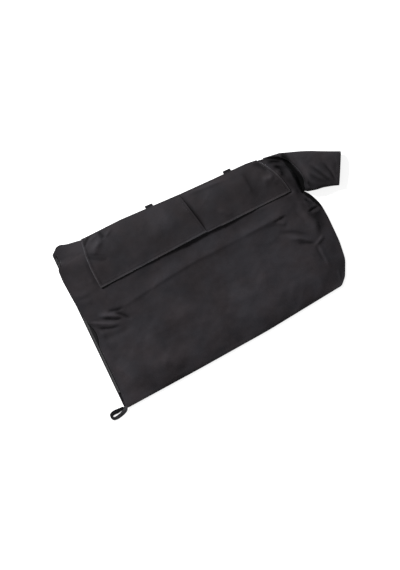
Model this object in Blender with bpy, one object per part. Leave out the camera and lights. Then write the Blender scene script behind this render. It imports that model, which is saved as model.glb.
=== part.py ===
"""Leaf collection bag of a garden blower vacuum, empty and lying flat on its back.

The bag is sewn from a front and a back panel. A short neck sleeve leaves its far corner, two cloth
flaps hang from its top edge, and a zip closes the whole end opposite the neck. Metres, +Z up.
+X runs from the zip end to the neck end, and +Y to the edge that carries the flaps and strap loops.
"""

import math

import bmesh
import bpy
import numpy as np
from mathutils import Matrix

# Cloth and seams
CLOTH = 0.0012  # panels and neck
FLAP_CLOTH = 0.0011
SEAM_GAP = 0.0003  # between pieces that touch
FLAP_CLEARANCE = 0.0011  # between a flap and what it lies on
RIM_LIFT = 0.0040  # how far the back panel turns up to meet the front at the seam
RIM_WIDTH = 0.012

# Loft of the front panel over the back, measured to its inner face
CROWN = 0.025
TOP_SLOPE = 0.085  # distance from the top edge over which the front panel rises
FOOT_SLOPE = 0.120
NECK_END_SLOPE = 0.100
ZIP_END_SLOPE = 0.130
ZIP_LIFT_REACH = 0.030  # how far from its edge the front panel keeps the zip's height
FRONT_COLUMNS = 52
FRONT_ROWS = 26
BACK_COLUMNS = 16
BACK_ROWS = 11

# Outline of the body, with its corners and the points between them
TOP_EDGE = [
    (-0.404, 0.2775), (-0.389, 0.2804), (-0.373, 0.2710), (-0.316, 0.2570), (-0.185, 0.2500),
    (-0.065, 0.2360), (0.013, 0.2270), (0.130, 0.2160), (0.243, 0.2050), (0.296, 0.1860),
]
FOOT_EDGE = [(-0.464, -0.2680), (-0.206, -0.2740), (0.044, -0.2770), (0.314, -0.2700)]
NECK_END_EDGE = [
    (0.314, -0.2700), (0.336, -0.2520), (0.364, -0.2040), (0.376, -0.1460), (0.383, -0.0600),
    (0.383, -0.0170), (0.376, 0.0100), (0.367, 0.0320), (0.358, 0.0440),
]
THROAT_EDGE = [  # the neck is sewn in along this line, from the last point above to the top edge
    (0.3660, 0.0640), (0.3710, 0.0800), (0.3730, 0.0950), (0.3720, 0.1120), (0.3680, 0.1300),
    (0.3620, 0.1480), (0.3520, 0.1660), (0.3300, 0.1760), (0.2960, 0.1860),
]
TOP_EDGE_UNDER_NECK = [(0.340, 0.1820), (0.420, 0.1600)]
NECK_END_UNDER_NECK = [(0.370, 0.0600), (0.392, 0.0900), (0.410, 0.1200), (0.420, 0.2000)]
GUTTER_SLOPE = 0.028  # the front panel falls to the seam over this distance
THROAT_LIFT = 0.0045  # how far the seam arches up between its two ends
THROAT_LIFT_REACH = 0.020
THROAT_LIFT_ENDS = 0.18  # share of the seam over which it rises at each end

# Line of the closed end: the outermost cloth beside the zip
ZIP_EDGE_HEAD = (-0.427, 0.244)
ZIP_EDGE_FOOT = (-0.466, -0.257)
ZIP_CORNER = 0.0155  # from the top corner down to where the edge turns into that line
ZIP_SIDE_FLAT = 0.020  # beside the zip the back panel lies flat, then its edge turns up
ZIP_SIDE_TURN = 0.020

# Zip
TAPE = 0.0008
TAPE_HEIGHT = 0.0050  # middle of the tape over the floor
TAPE_BEND = 0.0005
FRONT_TAPE_WIDTH = 0.014
TAPE_ROOM = 0.0010  # between the slider's side and the back tape's fold
ZIP_EDGE_ROOM = 0.0001
ZIP_HEAD_Y = 0.250
TAPE_OVER_HEAD = 0.006
TAPE_FOOT_MARGIN = 0.0185  # from the foot of the closed end up to the tapes' ends
CHAIN_FOOT_MARGIN = 0.0295  # from the tapes' ends up to the last tooth
TOOTH_PITCH = 0.0040
TOOTH_WIDTH = 0.0015
TOOTH_HEIGHT = 0.0022
TOOTH_REACH = 0.0012  # past the middle of the chain
TOOTH_ROOM = 0.0003
TOOTH_ROOT = 0.0011
CHAIN_HEAD = 0.0125  # first tooth, measured from the zip's head
STOP_LENGTH = 0.0050
STOP_ROOM = 0.0008  # from each top stop to the chain's middle

# Slider and pull
SLIDER_LENGTH = 0.0130
SLIDER_HEAD = 0.0075  # its leading end at rest, from the zip's head
SLIDER_WALL = 0.0012
SLIDER_PLATE = 0.0011
SLIDER_ROOM = 0.0004  # over and under the teeth
SLIDER_SIDE_ROOM = 0.0008
SLOT_ROOM = 0.0004  # between the tape and the slider's flanges
SLIDER_JOINT = 0.0002  # how deep the slider's parts run into each other
WEDGE_LENGTH = 0.0034
WEDGE_WIDTH = 0.0022
WEDGE_TIP_WIDTH = 0.0008
WEDGE_INSET = 0.0003
WEDGE_STRAIGHT = 0.0014
BAIL_WIDTH = 0.0022
BAIL_BAR = 0.0011
BAIL_LENGTH = 0.0090
BAIL_WINDOW = 0.0018
BAIL_INSET = 0.0020
BAIL_CORNER = 0.0008
PULL_THICKNESS = 0.0011
PULL_LENGTH = 0.0180
PULL_WIDTH = 0.0062
PULL_END_WIDTH = 0.0072
PULL_CORNER = (0.002, 0.003)  # cut off across and along
PULL_ROOM = 0.0004
PULL_WINDOW_ROOM = 0.0006

# Front cloth beside the zip: inward reach from the chain's middle, and its lift over the tape.
# Over the upper half the cloth rolls out over the zip, high enough for the slider to pass.
FRONT_EDGE_ROOM = 0.0007  # between the cloth and the slider's side
FRONT_EDGE_INSET = [
    (-0.268, -0.0040), (-0.247, -0.0043), (-0.230, 0.0), (-0.060, 0.0), (-0.040, 0.0053),
    (-0.020, 0.0087), (-0.005, 0.0066), (0.013, 0.0022), (0.028, -0.0025), (0.040, -0.0059),
    (0.060, -0.0090), (0.120, -0.0132), (0.173, -0.0163), (0.196, -0.0153), (0.206, -0.0103),
    (0.214, 0.0), (0.262, 0.0), (0.2775, 0.0086),
]
LIP_LIFT = 0.0066
LIP_RISE = [(0.004, 0.0), (0.026, 1.0), (0.208, 1.0), (0.226, 0.0)]

# Neck sleeve: ends of each cross-section on its upper and its lower side, and inner height
NECK_RIDGE = [  # crest that the cloth rises to beside the seam
    (0.3500, 0.1805), (0.3610, 0.1610), (0.3690, 0.1390), (0.3775, 0.1225), (0.3820, 0.1050),
    (0.3835, 0.0860), (0.3790, 0.0680), (0.3720, 0.0520), (0.3680, 0.0380),
]
NECK_RIDGE_HEIGHT = 0.0340
NECK_STATIONS = [
    ((0.3960, 0.1630), (0.3920, 0.0300), 0.0425),
    ((0.4300, 0.1460), (0.4130, 0.0255), 0.0400),
    ((0.4650, 0.1255), (0.4340, 0.0185), 0.0345),
    ((0.4900, 0.1110), (0.4480, 0.0130), 0.0300),
    ((0.5182, 0.0950), (0.4620, 0.0066), 0.0260),
]
NECK_SIDES = 32
NECK_ROUNDING = (0.75, 0.55)  # powers of a cross-section's upper and lower half; 1 is an ellipse
THROAT_ROUNDING = 0.3
THROAT_END_GAP = 0.0022  # from the panels' corners to the ends of the sewn section
THROAT_GAP = 0.0018  # across the seam between the panels and the neck
HEM_WIDTH = 0.011
HEM_STEP = 0.0017  # from the sleeve's outer ply to the ply turned inside

# Flaps: corners as head, foot at the zip side, then foot, head at the neck side
LEFT_FLAP = [(-0.322, None), (-0.341, 0.098), (0.032, 0.0855), (0.014, None)]
RIGHT_FLAP = [(-0.030, None), (-0.034, 0.085), (0.320, 0.0650), (0.278, None)]
RIGHT_FLAP_BOW = 0.010  # how far its free side bows out
FLAP_STEP_START = -0.090  # where the left flap starts to climb over the right one
FLAP_STEP_END = -0.045
FLAP_OVERHANG = 0.0022  # past the body's top edge
FLAP_COLUMNS = 24
FLAP_ROWS = 9
FLAP_HEAD_ROWS = [0.0, 0.012, 0.045]  # shares of its depth, close together where it rolls over the edge

# Webbing
WEBBING_OFF_FLOOR = 0.0002
WEBBING_STAND_OFF = 0.0004  # from the body's edge
STRAP_LOOP_WIDTH = 0.025
STRAP_LOOP_REACH = 0.0115
STRAP_LOOP_HEIGHT = 0.0068
STRAP_WEBBING = 0.0011
STRAP_LOOP_X = {"strap_loop_left": -0.086, "strap_loop_right": 0.180}
CORNER_WEBBING = 0.0014
CORNER_LOOP_RISE = 0.0058
CORNER_LOOP_LEAN = 0.0080
CORNER_LOOP_PATH = [
    (-0.4672, -0.2598), (-0.4760, -0.2594), (-0.4880, -0.2588), (-0.4990, -0.2590),
    (-0.5075, -0.2615), (-0.5110, -0.2660), (-0.5070, -0.2703), (-0.4985, -0.2714),
    (-0.4880, -0.2700), (-0.4765, -0.2672), (-0.4672, -0.2640),
]

# Soft folds of the front panel: points, half width, height
FOLDS = [
    ([(-0.348, 0.014), (-0.185, 0.021), (-0.053, 0.025), (0.058, 0.019), (0.187, 0.016), (0.304, 0.007)],
     0.015, 0.0022),
    ([(-0.340, -0.006), (-0.185, 0.000), (0.058, -0.004), (0.290, -0.014)], 0.013, -0.0012),
    ([(0.310, 0.004), (0.316, -0.040), (0.318, -0.100), (0.310, -0.184)], 0.014, 0.0040),
    ([(0.330, -0.018), (0.344, -0.062), (0.334, -0.104)], 0.010, -0.0035),
    ([(0.345, 0.004), (0.372, -0.040)], 0.010, 0.0030),
    ([(-0.415, -0.020), (-0.370, -0.012), (-0.345, -0.030)], 0.012, 0.0030),
    ([(-0.352, 0.016), (-0.335, -0.016), (-0.330, -0.045)], 0.010, -0.0025),
]

COLOURS = {
    "cloth": ((0.0300, 0.0280, 0.0295), 0.72),
    "webbing": ((0.0120, 0.0120, 0.0125), 0.80),
    "tape": ((0.0180, 0.0175, 0.0185), 0.78),
    "teeth": ((0.0350, 0.0350, 0.0360), 0.42),
    "metal": ((0.0250, 0.0250, 0.0260), 0.35),
}


def clear_scene():
    for obj in list(bpy.data.objects):
        bpy.data.objects.remove(obj, do_unlink=True)


def material(name):
    made = bpy.data.materials.get(name)
    if made:
        return made
    colour, roughness = COLOURS[name]
    made = bpy.data.materials.new(name)
    made.use_nodes = True
    shader = made.node_tree.nodes["Principled BSDF"]
    shader.inputs["Base Color"].default_value = (*colour, 1.0)
    shader.inputs["Roughness"].default_value = roughness
    shader.inputs["Metallic"].default_value = 0.9 if name == "metal" else 0.0
    return made


def mesh_object(name, points, faces, finish, parent=None):
    mesh = bpy.data.meshes.new(name)
    mesh.from_pydata([tuple(map(float, p)) for p in points], [], [tuple(map(int, f)) for f in faces])
    mesh.update()
    mesh.shade_smooth()
    mesh.set_sharp_from_angle(angle=math.radians(40))
    mesh.materials.append(material(finish))
    obj = bpy.data.objects.new(name, mesh)
    obj.parent = parent
    bpy.context.scene.collection.objects.link(obj)
    return obj


def grid_faces(rows, columns, wrap=False):
    """Quads of a grid of points stored row by row; wrap joins each row's last point to its first."""
    faces = []
    for i in range(rows - 1):
        for j in range(columns if wrap else columns - 1):
            k = (j + 1) % columns
            faces.append((i * columns + j, i * columns + k, (i + 1) * columns + k, (i + 1) * columns + j))
    return faces


def thicken(obj, thickness, side=1.0):
    solid = obj.modifiers.new("thickness", "SOLIDIFY")
    solid.thickness = thickness
    solid.offset = side
    solid.use_rim = True
    return obj


def smooth_step(value):
    value = np.clip(value, 0.0, 1.0)
    return value * value * (3.0 - 2.0 * value)


def rise(distance, over):
    """From 0 at an edge to 1 once the distance from it is over, with a round shoulder."""
    share = np.clip(distance / over, 0.0, 1.0)
    return share * (2.0 - share)


def along(points, count):
    """That many points, evenly spaced along a polyline."""
    points = np.array(points, float)
    steps = np.hypot(*np.diff(points, axis=0).T)
    travelled = np.concatenate([[0.0], np.cumsum(steps)])
    wanted = np.linspace(0.0, travelled[-1], count)
    return np.column_stack([np.interp(wanted, travelled, points[:, k]) for k in range(2)])


def distance_to_path(x, y, points):
    """Distance to a polyline, and how far along it the nearest point lies, from 0 to 1."""
    points = np.array(points, float)
    best = np.full(np.shape(x), np.inf)
    share = np.zeros(np.shape(x))
    for k, (start, end) in enumerate(zip(points[:-1], points[1:])):
        step = end - start
        at = ((x - start[0]) * step[0] + (y - start[1]) * step[1]) / step.dot(step)
        at = np.clip(at, 0.0, 1.0)
        distance = np.hypot(x - start[0] - at * step[0], y - start[1] - at * step[1])
        nearer = distance < best
        best = np.where(nearer, distance, best)
        share = np.where(nearer, (k + at) / (len(points) - 1), share)
    return best, share


# Edges of the body as functions of the other coordinate

def top_y(x):
    points = np.array(TOP_EDGE + TOP_EDGE_UNDER_NECK)
    return np.interp(x, points[:, 0], points[:, 1])


def foot_y(x):
    points = np.array(FOOT_EDGE)
    return np.interp(x, points[:, 0], points[:, 1])


def neck_end_x(y):
    points = np.array(NECK_END_EDGE[:-1] + NECK_END_UNDER_NECK)
    return np.interp(y, points[:, 1], points[:, 0])


def throat_path():
    """The seam between the panels and the neck, from its foot to the top edge."""
    return along([NECK_END_EDGE[-1]] + THROAT_EDGE, NECK_SIDES // 2 + 1)


def zip_edge_x(y):
    (head_x, head_y), (foot_x, foot_y_) = ZIP_EDGE_HEAD, ZIP_EDGE_FOOT
    return head_x + (y - head_y) * (head_x - foot_x) / (head_y - foot_y_)


# The zip's own frame: its first axis points out of the bag, its second down the zip from the head

SLIDER_HALF_WIDTH = TOOTH_REACH + TOOTH_ROOM + TOOTH_ROOT + SLIDER_SIDE_ROOM + SLIDER_WALL
CHAIN_INSET = SLIDER_HALF_WIDTH + TAPE_ROOM + TAPE + ZIP_EDGE_ROOM
FRONT_EDGE_REVEAL = SLIDER_HALF_WIDTH + FRONT_EDGE_ROOM


def zip_axes():
    down = np.array(ZIP_EDGE_FOOT) - np.array(ZIP_EDGE_HEAD)
    down = down / np.hypot(*down)
    out = np.array([down[1], -down[0]])
    return out, down


def tape_foot():
    """Where the tapes end, down the zip."""
    _, down = zip_axes()
    return (ZIP_HEAD_Y - ZIP_EDGE_FOOT[1]) / abs(down[1]) - TAPE_FOOT_MARGIN


def chain_foot():
    return tape_foot() - CHAIN_FOOT_MARGIN


def chain_x(y):
    out, down = zip_axes()
    return zip_edge_x(y) + CHAIN_INSET / abs(down[1])


def zip_frame():
    out, down = zip_axes()
    matrix = Matrix.Identity(4)
    matrix.col[0][:2] = out
    matrix.col[1][:2] = down
    matrix.col[3][:3] = (chain_x(ZIP_HEAD_Y), ZIP_HEAD_Y, 0.0)
    frame = bpy.data.objects.new("zip_line", None)
    frame.matrix_world = matrix
    bpy.context.scene.collection.objects.link(frame)
    return frame


# Front panel

def front_edge_x(y):
    inset = np.array(FRONT_EDGE_INSET)
    return chain_x(y) + FRONT_EDGE_REVEAL + np.interp(y, inset[:, 0], inset[:, 1])


def lip(y):
    table = np.array(LIP_RISE)
    return LIP_LIFT * smooth_step(np.interp(y, table[:, 0], table[:, 1]))


def fold_height(x, y):
    total = np.zeros(np.shape(x))
    for points, half_width, height in FOLDS:
        distance, share = distance_to_path(x, y, points)
        ends = smooth_step(share / 0.15) * smooth_step((1.0 - share) / 0.15)
        total = total + height * ends * np.exp(-(distance / half_width) ** 2)
    return total


def front_height(x, y, folds=True):
    """Height of the front panel's inner face."""
    seam = RIM_LIFT + CLOTH + SEAM_GAP
    beside_tape = TAPE_HEIGHT + TAPE / 2 + SEAM_GAP
    from_zip = np.maximum(x - front_edge_x(y), 0.0)
    near_zip = np.exp(-from_zip / ZIP_LIFT_REACH)
    from_throat, share = distance_to_path(x, y, throat_path())
    arch = smooth_step(share / THROAT_LIFT_ENDS) * smooth_step((1.0 - share) / THROAT_LIFT_ENDS)
    edge = seam + (max(beside_tape - seam, 0.0) + lip(y)) * near_zip
    edge = edge + THROAT_LIFT * arch * np.exp(-from_throat / THROAT_LIFT_REACH)
    loft = rise(top_y(x) - y, TOP_SLOPE) * rise(y - foot_y(x), FOOT_SLOPE)
    loft = loft * rise(neck_end_x(y) - x, NECK_END_SLOPE) * rise(from_zip, ZIP_END_SLOPE)
    loft = loft * smooth_step(from_throat / GUTTER_SLOPE)
    height = edge + (CROWN - edge) * loft
    if folds:
        height = height + fold_height(x, y) * np.minimum(loft * 3.0, 1.0)
    return height


def neck_end_side(rows):
    """The right side of both panels at those shares of their height, with the seam's foot among them."""
    edge, throat = np.array(NECK_END_EDGE), throat_path()
    corner = (edge[-1, 1] - edge[0, 1]) / (throat[-1, 1] - edge[0, 1])
    rows = rows.copy()
    rows[int(np.argmin(abs(rows - corner)))] = corner
    y = edge[0, 1] + np.minimum(rows / corner, 1.0) * (edge[-1, 1] - edge[0, 1])
    up = np.clip((rows - corner) / (1.0 - corner), 0.0, 1.0) * (len(throat) - 1)
    steps = np.arange(len(throat))
    below = np.column_stack([np.interp(y, edge[:, 1], edge[:, 0]), y])
    above = np.column_stack([np.interp(up, steps, throat[:, k]) for k in range(2)])
    return rows, np.where((rows > corner)[:, None], above, below)


def rows_up_the_zip_end():
    """Heights of the front panel's rows on its zip side, with the turns of its edge among them."""
    even = np.linspace(FOOT_EDGE[0][1], TOP_EDGE[0][1], FRONT_ROWS)
    turns = [y for y, _ in FRONT_EDGE_INSET[1:-1]] + [y for y, _ in LIP_RISE]
    kept = sorted(set(turns))
    spread = (TOP_EDGE[0][1] - FOOT_EDGE[0][1]) / (2.2 * FRONT_ROWS)
    rows = [even[0]] + [y for y in even[1:-1] if min(abs(y - k) for k in kept) > spread] + [even[-1]]
    return np.array(sorted(rows + kept))


def body_grid(left, rows, columns):
    """Points over the body's plan: left is its zip side, rows the share of its height at each row."""
    rows, right = neck_end_side(rows)
    across = np.linspace(0.0, 1.0, columns)
    foot = along(FOOT_EDGE, columns)
    top = along(TOP_EDGE, columns)
    grid = np.zeros((len(rows), columns, 2))
    for i, v in enumerate(rows):
        for j, u in enumerate(across):
            flat = (1 - v) * foot[j] + v * top[j] + (1 - u) * left[i] + u * right[i]
            flat = flat - (1 - u) * (1 - v) * foot[0] - u * (1 - v) * foot[-1]
            grid[i, j] = flat - (1 - u) * v * top[0] - u * v * top[-1]
    return grid


def make_front_panel():
    left_y = rows_up_the_zip_end()
    left = np.column_stack([front_edge_x(left_y), left_y])
    left[0] = FOOT_EDGE[0]
    left[-1] = TOP_EDGE[0]
    rows = (left_y - left_y[0]) / (left_y[-1] - left_y[0])
    grid = body_grid(left, rows, FRONT_COLUMNS)
    z = front_height(grid[..., 0], grid[..., 1])
    points = np.dstack([grid, z]).reshape(-1, 3)
    panel = mesh_object("front_panel", points, grid_faces(len(rows), FRONT_COLUMNS), "cloth")
    return thicken(panel, CLOTH)


# Back panel

def back_height(x, y):
    """Height of the back panel's under face: flat, with its edge turned up to the seam."""
    nearest = np.minimum(top_y(x) - y, y - foot_y(x))
    nearest = np.minimum(nearest, neck_end_x(y) - x)
    turned = 1.0 - smooth_step(nearest / RIM_WIDTH)
    beside_zip = smooth_step((x - zip_edge_x(y) - ZIP_SIDE_FLAT) / ZIP_SIDE_TURN)
    return RIM_LIFT * turned * beside_zip


def make_back_panel():
    bottom, top = FOOT_EDGE[0][1], TOP_EDGE[0][1]
    head = top - ZIP_CORNER
    turns = np.array([bottom + 0.4 * RIM_WIDTH, bottom + RIM_WIDTH, head - 0.6 * RIM_WIDTH, head,
                      top - 0.4 * RIM_WIDTH])
    rows = np.unique(np.concatenate([(turns - bottom) / (top - bottom), np.linspace(0.0, 1.0, BACK_ROWS)]))
    left_y = bottom + rows * (top - bottom)
    left = np.column_stack([np.interp(left_y, [bottom, head, top],
                                      [zip_edge_x(bottom), zip_edge_x(head), TOP_EDGE[0][0]]), left_y])
    left[0] = FOOT_EDGE[0]
    grid = body_grid(left, rows, BACK_COLUMNS)
    z = back_height(grid[..., 0], grid[..., 1])
    points = np.dstack([grid, z]).reshape(-1, 3)
    panel = mesh_object("back_panel", points, grid_faces(len(rows), BACK_COLUMNS), "cloth")
    return thicken(panel, CLOTH)


# Neck sleeve

def throat_line():
    """The seam again from top to foot, on the neck's side of it."""
    line = throat_path()[::-1]
    step = np.gradient(line, axis=0)
    step = step / np.hypot(*step.T)[:, None]
    line[0] += step[0] * THROAT_END_GAP
    line[-1] -= step[-1] * THROAT_END_GAP
    return line + np.column_stack([-step[:, 1], step[:, 0]]) * THROAT_GAP


def neck_ring(line, height, at_throat=False):
    """Inner face of the cross-section that stands on a line; at the throat it is a flat opening."""
    half = NECK_SIDES // 2
    ring = []
    for k in range(NECK_SIDES):
        turn = math.pi * k / half
        share = (1 - math.cos(turn)) / 2
        power = NECK_ROUNDING[0] if k <= half else NECK_ROUNDING[1]
        if at_throat:
            share = k / half if k <= half else 2 - k / half
            power = THROAT_ROUNDING
        x, y = (float(np.interp(share, np.linspace(0, 1, len(line)), line[:, axis])) for axis in range(2))
        if at_throat:
            height = float(front_height(x, y, folds=False)) - CLOTH
        lift = math.copysign(abs(math.sin(turn)) ** power, math.sin(turn))
        ring.append((x, y, CLOTH + height / 2 * (1 + lift)))
    return ring


def make_neck_sleeve():
    stations = [(np.array([a, b]), h) for a, b, h in NECK_STATIONS]
    ridge = along(NECK_RIDGE, 4 * NECK_SIDES)
    beside = (ridge + along(stations[0][0], 4 * NECK_SIDES)) / 2
    rings = [neck_ring(throat_line(), 0.0, at_throat=True), neck_ring(ridge, NECK_RIDGE_HEIGHT)]
    rings.append(neck_ring(beside, (NECK_RIDGE_HEIGHT + 2 * stations[0][1]) / 3))
    for line, height in stations:
        rings.append(neck_ring(line, height))
    mouth, height = stations[-1]
    before, height_before = stations[-2]
    way = mouth.mean(axis=0) - before.mean(axis=0)
    share = HEM_WIDTH / np.hypot(*way)
    inward = (mouth[1] - mouth[0]) / np.hypot(*(mouth[1] - mouth[0])) * HEM_STEP
    inward = np.array([inward, -inward])
    inner = height - 2 * HEM_STEP
    turned = [(mouth, inner), (mouth + (before - mouth) * share, inner + (height_before - height) * share)]
    for line, inner_height in turned:
        ring = np.array(neck_ring(line + inward, inner_height))
        ring[:, 2] += HEM_STEP
        rings.append([tuple(p) for p in ring])
    points = [p for ring in rings for p in ring]
    faces = grid_faces(len(rings), NECK_SIDES, wrap=True)
    sleeve = mesh_object("neck_sleeve", points, faces, "cloth")
    return thicken(sleeve, CLOTH)


# Flaps

def flap_grid(corners, columns, rows, bow=0.0):
    (head_a, _), (foot_ax, foot_ay), (foot_bx, foot_by), (head_b, _) = corners
    grid = np.zeros((rows, columns, 2))
    down = np.concatenate([FLAP_HEAD_ROWS, np.linspace(0.1, 1.0, rows - len(FLAP_HEAD_ROWS))])
    for j, u in enumerate(np.linspace(0.0, 1.0, columns)):
        foot = np.array([foot_ax + u * (foot_bx - foot_ax), foot_ay + u * (foot_by - foot_ay)])
        head_x = head_a + u * (head_b - head_a)
        head = np.array([head_x, float(top_y(head_x)) + FLAP_OVERHANG])
        for i, v in enumerate(down):
            grid[i, j] = head + v * (foot - head)
            grid[i, j, 0] += bow * math.sin(math.pi * v) * u ** 3
    return grid


def lying_height(x, y, under):
    """Under face of cloth that lies on the front panel, over a further thickness of under."""
    step = 0.0005
    height = front_height(x, np.minimum(y, top_y(x)))
    slope_x = (front_height(x + step, y) - front_height(x - step, y)) / (2 * step)
    slope_y = (front_height(x, y + step) - front_height(x, y - step)) / (2 * step)
    steep = np.sqrt(1.0 + slope_x ** 2 + slope_y ** 2)
    return height + (CLOTH + FLAP_CLEARANCE + under) * steep


def make_flaps():
    right = flap_grid(RIGHT_FLAP, FLAP_COLUMNS, FLAP_ROWS, RIGHT_FLAP_BOW)
    z = lying_height(right[..., 0], right[..., 1], 0.0)
    points = np.dstack([right, z]).reshape(-1, 3)
    faces = [tuple(reversed(f)) for f in grid_faces(FLAP_ROWS, FLAP_COLUMNS)]
    thicken(mesh_object("right_flap", points, faces, "cloth"), FLAP_CLOTH)
    left = flap_grid(LEFT_FLAP, FLAP_COLUMNS, FLAP_ROWS)
    climb = smooth_step((left[..., 0] - FLAP_STEP_START) / (FLAP_STEP_END - FLAP_STEP_START))
    z = lying_height(left[..., 0], left[..., 1], climb * (FLAP_CLOTH + FLAP_CLEARANCE))
    points = np.dstack([left, z]).reshape(-1, 3)
    thicken(mesh_object("left_flap", points, faces, "cloth"), FLAP_CLOTH)


# Webbing loops

def make_strap_loop(name, middle):
    """A strip of webbing folded to a loop, standing out of the top seam."""
    ends = [middle - STRAP_LOOP_WIDTH / 2, middle + STRAP_LOOP_WIDTH / 2]
    slope = (top_y(ends[1]) - top_y(ends[0])) / STRAP_LOOP_WIDTH
    radius = STRAP_LOOP_HEIGHT / 2 - STRAP_WEBBING / 2
    low = WEBBING_OFF_FLOOR + STRAP_WEBBING / 2
    profile = [(SEAM_GAP, low), (STRAP_LOOP_REACH - radius - STRAP_WEBBING / 2, low)]
    for k in range(1, 8):
        turn = math.pi * k / 8 - math.pi / 2
        reach = STRAP_LOOP_REACH - radius - STRAP_WEBBING / 2 + radius * math.cos(turn)
        profile.append((reach, low + radius + radius * math.sin(turn)))
    profile += [(profile[1][0], low + 2 * radius), (SEAM_GAP, low + 2 * radius)]
    points = []
    for y, z in profile:
        for x in ends:
            edge = float(top_y(middle)) + slope * (x - middle) + WEBBING_STAND_OFF
            points.append((x, edge + y, z))
    faces = [tuple(reversed(f)) for f in grid_faces(len(profile), 2)]
    return thicken(mesh_object(name, points, faces, "webbing"), STRAP_WEBBING, side=0.0)


def make_corner_loop():
    """A ribbed loop at the foot of the zip, leaning outwards all round."""
    path = np.array(CORNER_LOOP_PATH)
    along_path = np.gradient(path, axis=0)
    along_path /= np.hypot(*along_path.T)[:, None]
    outward = np.column_stack([along_path[:, 1], -along_path[:, 0]])
    middle = path.mean(axis=0)
    if np.mean(np.sum(outward * (path - middle), axis=1)) < 0:
        outward = -outward
    low = 2 * WEBBING_OFF_FLOOR + CORNER_WEBBING / 2
    points = []
    for at, out in zip(path, outward):
        lean = out * CORNER_LOOP_LEAN
        lean[0] = min(lean[0], 0.0)
        points.append((at[0], at[1], low))
        points.append((at[0] + lean[0], at[1] + lean[1], low + CORNER_LOOP_RISE))
    loop = mesh_object("corner_loop", points, grid_faces(len(path), 2), "webbing")
    return thicken(loop, CORNER_WEBBING, side=0.0)


# Zip pieces, in the zip's own frame

def prism(name, outline, axis, start, end, finish, parent=None):
    """A closed outline drawn out along one axis: 'y' takes (x, z) points, 'z' (x, y), 'x' (y, z)."""
    count = len(outline)
    points = []
    for at in (start, end):
        for a, b in outline:
            points.append({"y": (a, at, b), "z": (a, b, at), "x": (at, a, b)}[axis])
    faces = [tuple(range(count)), tuple(range(2 * count - 1, count - 1, -1))]
    faces += [(k, k + count, (k + 1) % count + count, (k + 1) % count) for k in range(count)]
    obj = mesh_object(name, points, faces, finish, parent)
    fix = bmesh.new()
    fix.from_mesh(obj.data)
    bmesh.ops.recalc_face_normals(fix, faces=fix.faces)
    fix.to_mesh(obj.data)
    fix.free()
    return obj


def box(name, low, high, finish, parent=None):
    outline = [(low[0], low[1]), (high[0], low[1]), (high[0], high[1]), (low[0], high[1])]
    return prism(name, outline, "z", low[2], high[2], finish, parent)


def join(target, tool, operation="UNION"):
    tool.hide_render = True
    tool.display_type = "WIRE"
    change = target.modifiers.new(tool.name, "BOOLEAN")
    change.operation = operation
    change.object = tool
    change.solver = "EXACT"
    return target


def make_tapes(frame):
    head, foot = -TAPE_OVER_HEAD, tape_foot()
    low, high = TAPE_HEIGHT - TAPE / 2, TAPE_HEIGHT + TAPE / 2
    start = TOOTH_REACH + 2 * TOOTH_ROOM + TOOTH_ROOT
    end = start + FRONT_TAPE_WIDTH
    front = [(-end, low), (-start, low), (-start, high), (-end, high)]
    prism("zip_tape_front", front, "y", head, foot, "tape", frame)
    side = SLIDER_HALF_WIDTH + TAPE_ROOM
    rest = CLOTH + SEAM_GAP
    back = [
        (start, low), (side - TAPE_BEND, low), (side, low - TAPE_BEND), (side, rest), (side + TAPE, rest),
        (side + TAPE, low), (side, high), (start, high),
    ]
    prism("zip_tape_back", back, "y", head, foot, "tape", frame)


def make_teeth(frame):
    """Two combs of teeth that mesh across the chain's middle."""
    end = chain_foot()
    teeth = int((end - CHAIN_HEAD) / TOOTH_PITCH)
    low, high = TAPE_HEIGHT - TOOTH_HEIGHT / 2, TAPE_HEIGHT + TOOTH_HEIGHT / 2
    neck = TOOTH_REACH + TOOTH_ROOM
    for name, side, first in (("zip_teeth_front", -1.0, 0.0), ("zip_teeth_back", 1.0, TOOTH_PITCH / 2)):
        root, tip = side * neck, -side * TOOTH_REACH
        outline = [(root + side * TOOTH_ROOT, CHAIN_HEAD + first)]
        for k in range(teeth):
            at = CHAIN_HEAD + first + k * TOOTH_PITCH
            outline += [(tip, at), (tip, at + TOOTH_WIDTH), (root, at + TOOTH_WIDTH)]
            outline.append((root, at + TOOTH_PITCH if k < teeth - 1 else end))
        outline.append((root + side * TOOTH_ROOT, end))
        prism(name, outline, "z", low, high, "teeth", frame)


def make_stops(frame):
    low, high = TAPE_HEIGHT - TOOTH_HEIGHT / 2, TAPE_HEIGHT + TOOTH_HEIGHT / 2
    neck = TOOTH_REACH + TOOTH_ROOM
    reach = neck + TOOTH_ROOT
    head = SLIDER_HEAD - SEAM_GAP
    for name, side in (("zip_top_stop_front", -1.0), ("zip_top_stop_back", 1.0)):
        ends = sorted([side * reach, side * STOP_ROOM])
        box(name, (ends[0], head - STOP_LENGTH, low), (ends[1], head, high), "teeth", frame)
    foot = chain_foot() + SEAM_GAP
    box("zip_bottom_stop", (-reach, foot, low), (reach, foot + STOP_LENGTH, high), "teeth", frame)


def slider_levels():
    """Heights of the slider: foot, inner floor, lower flange, upper flange, inner roof, top."""
    half = TOOTH_HEIGHT / 2 + SLIDER_ROOM
    slot = TAPE / 2 + SLOT_ROOM
    floor, roof = TAPE_HEIGHT - half, TAPE_HEIGHT + half
    return (floor - SLIDER_PLATE, floor, TAPE_HEIGHT - slot, TAPE_HEIGHT + slot, roof, roof + SLIDER_PLATE)


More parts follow.
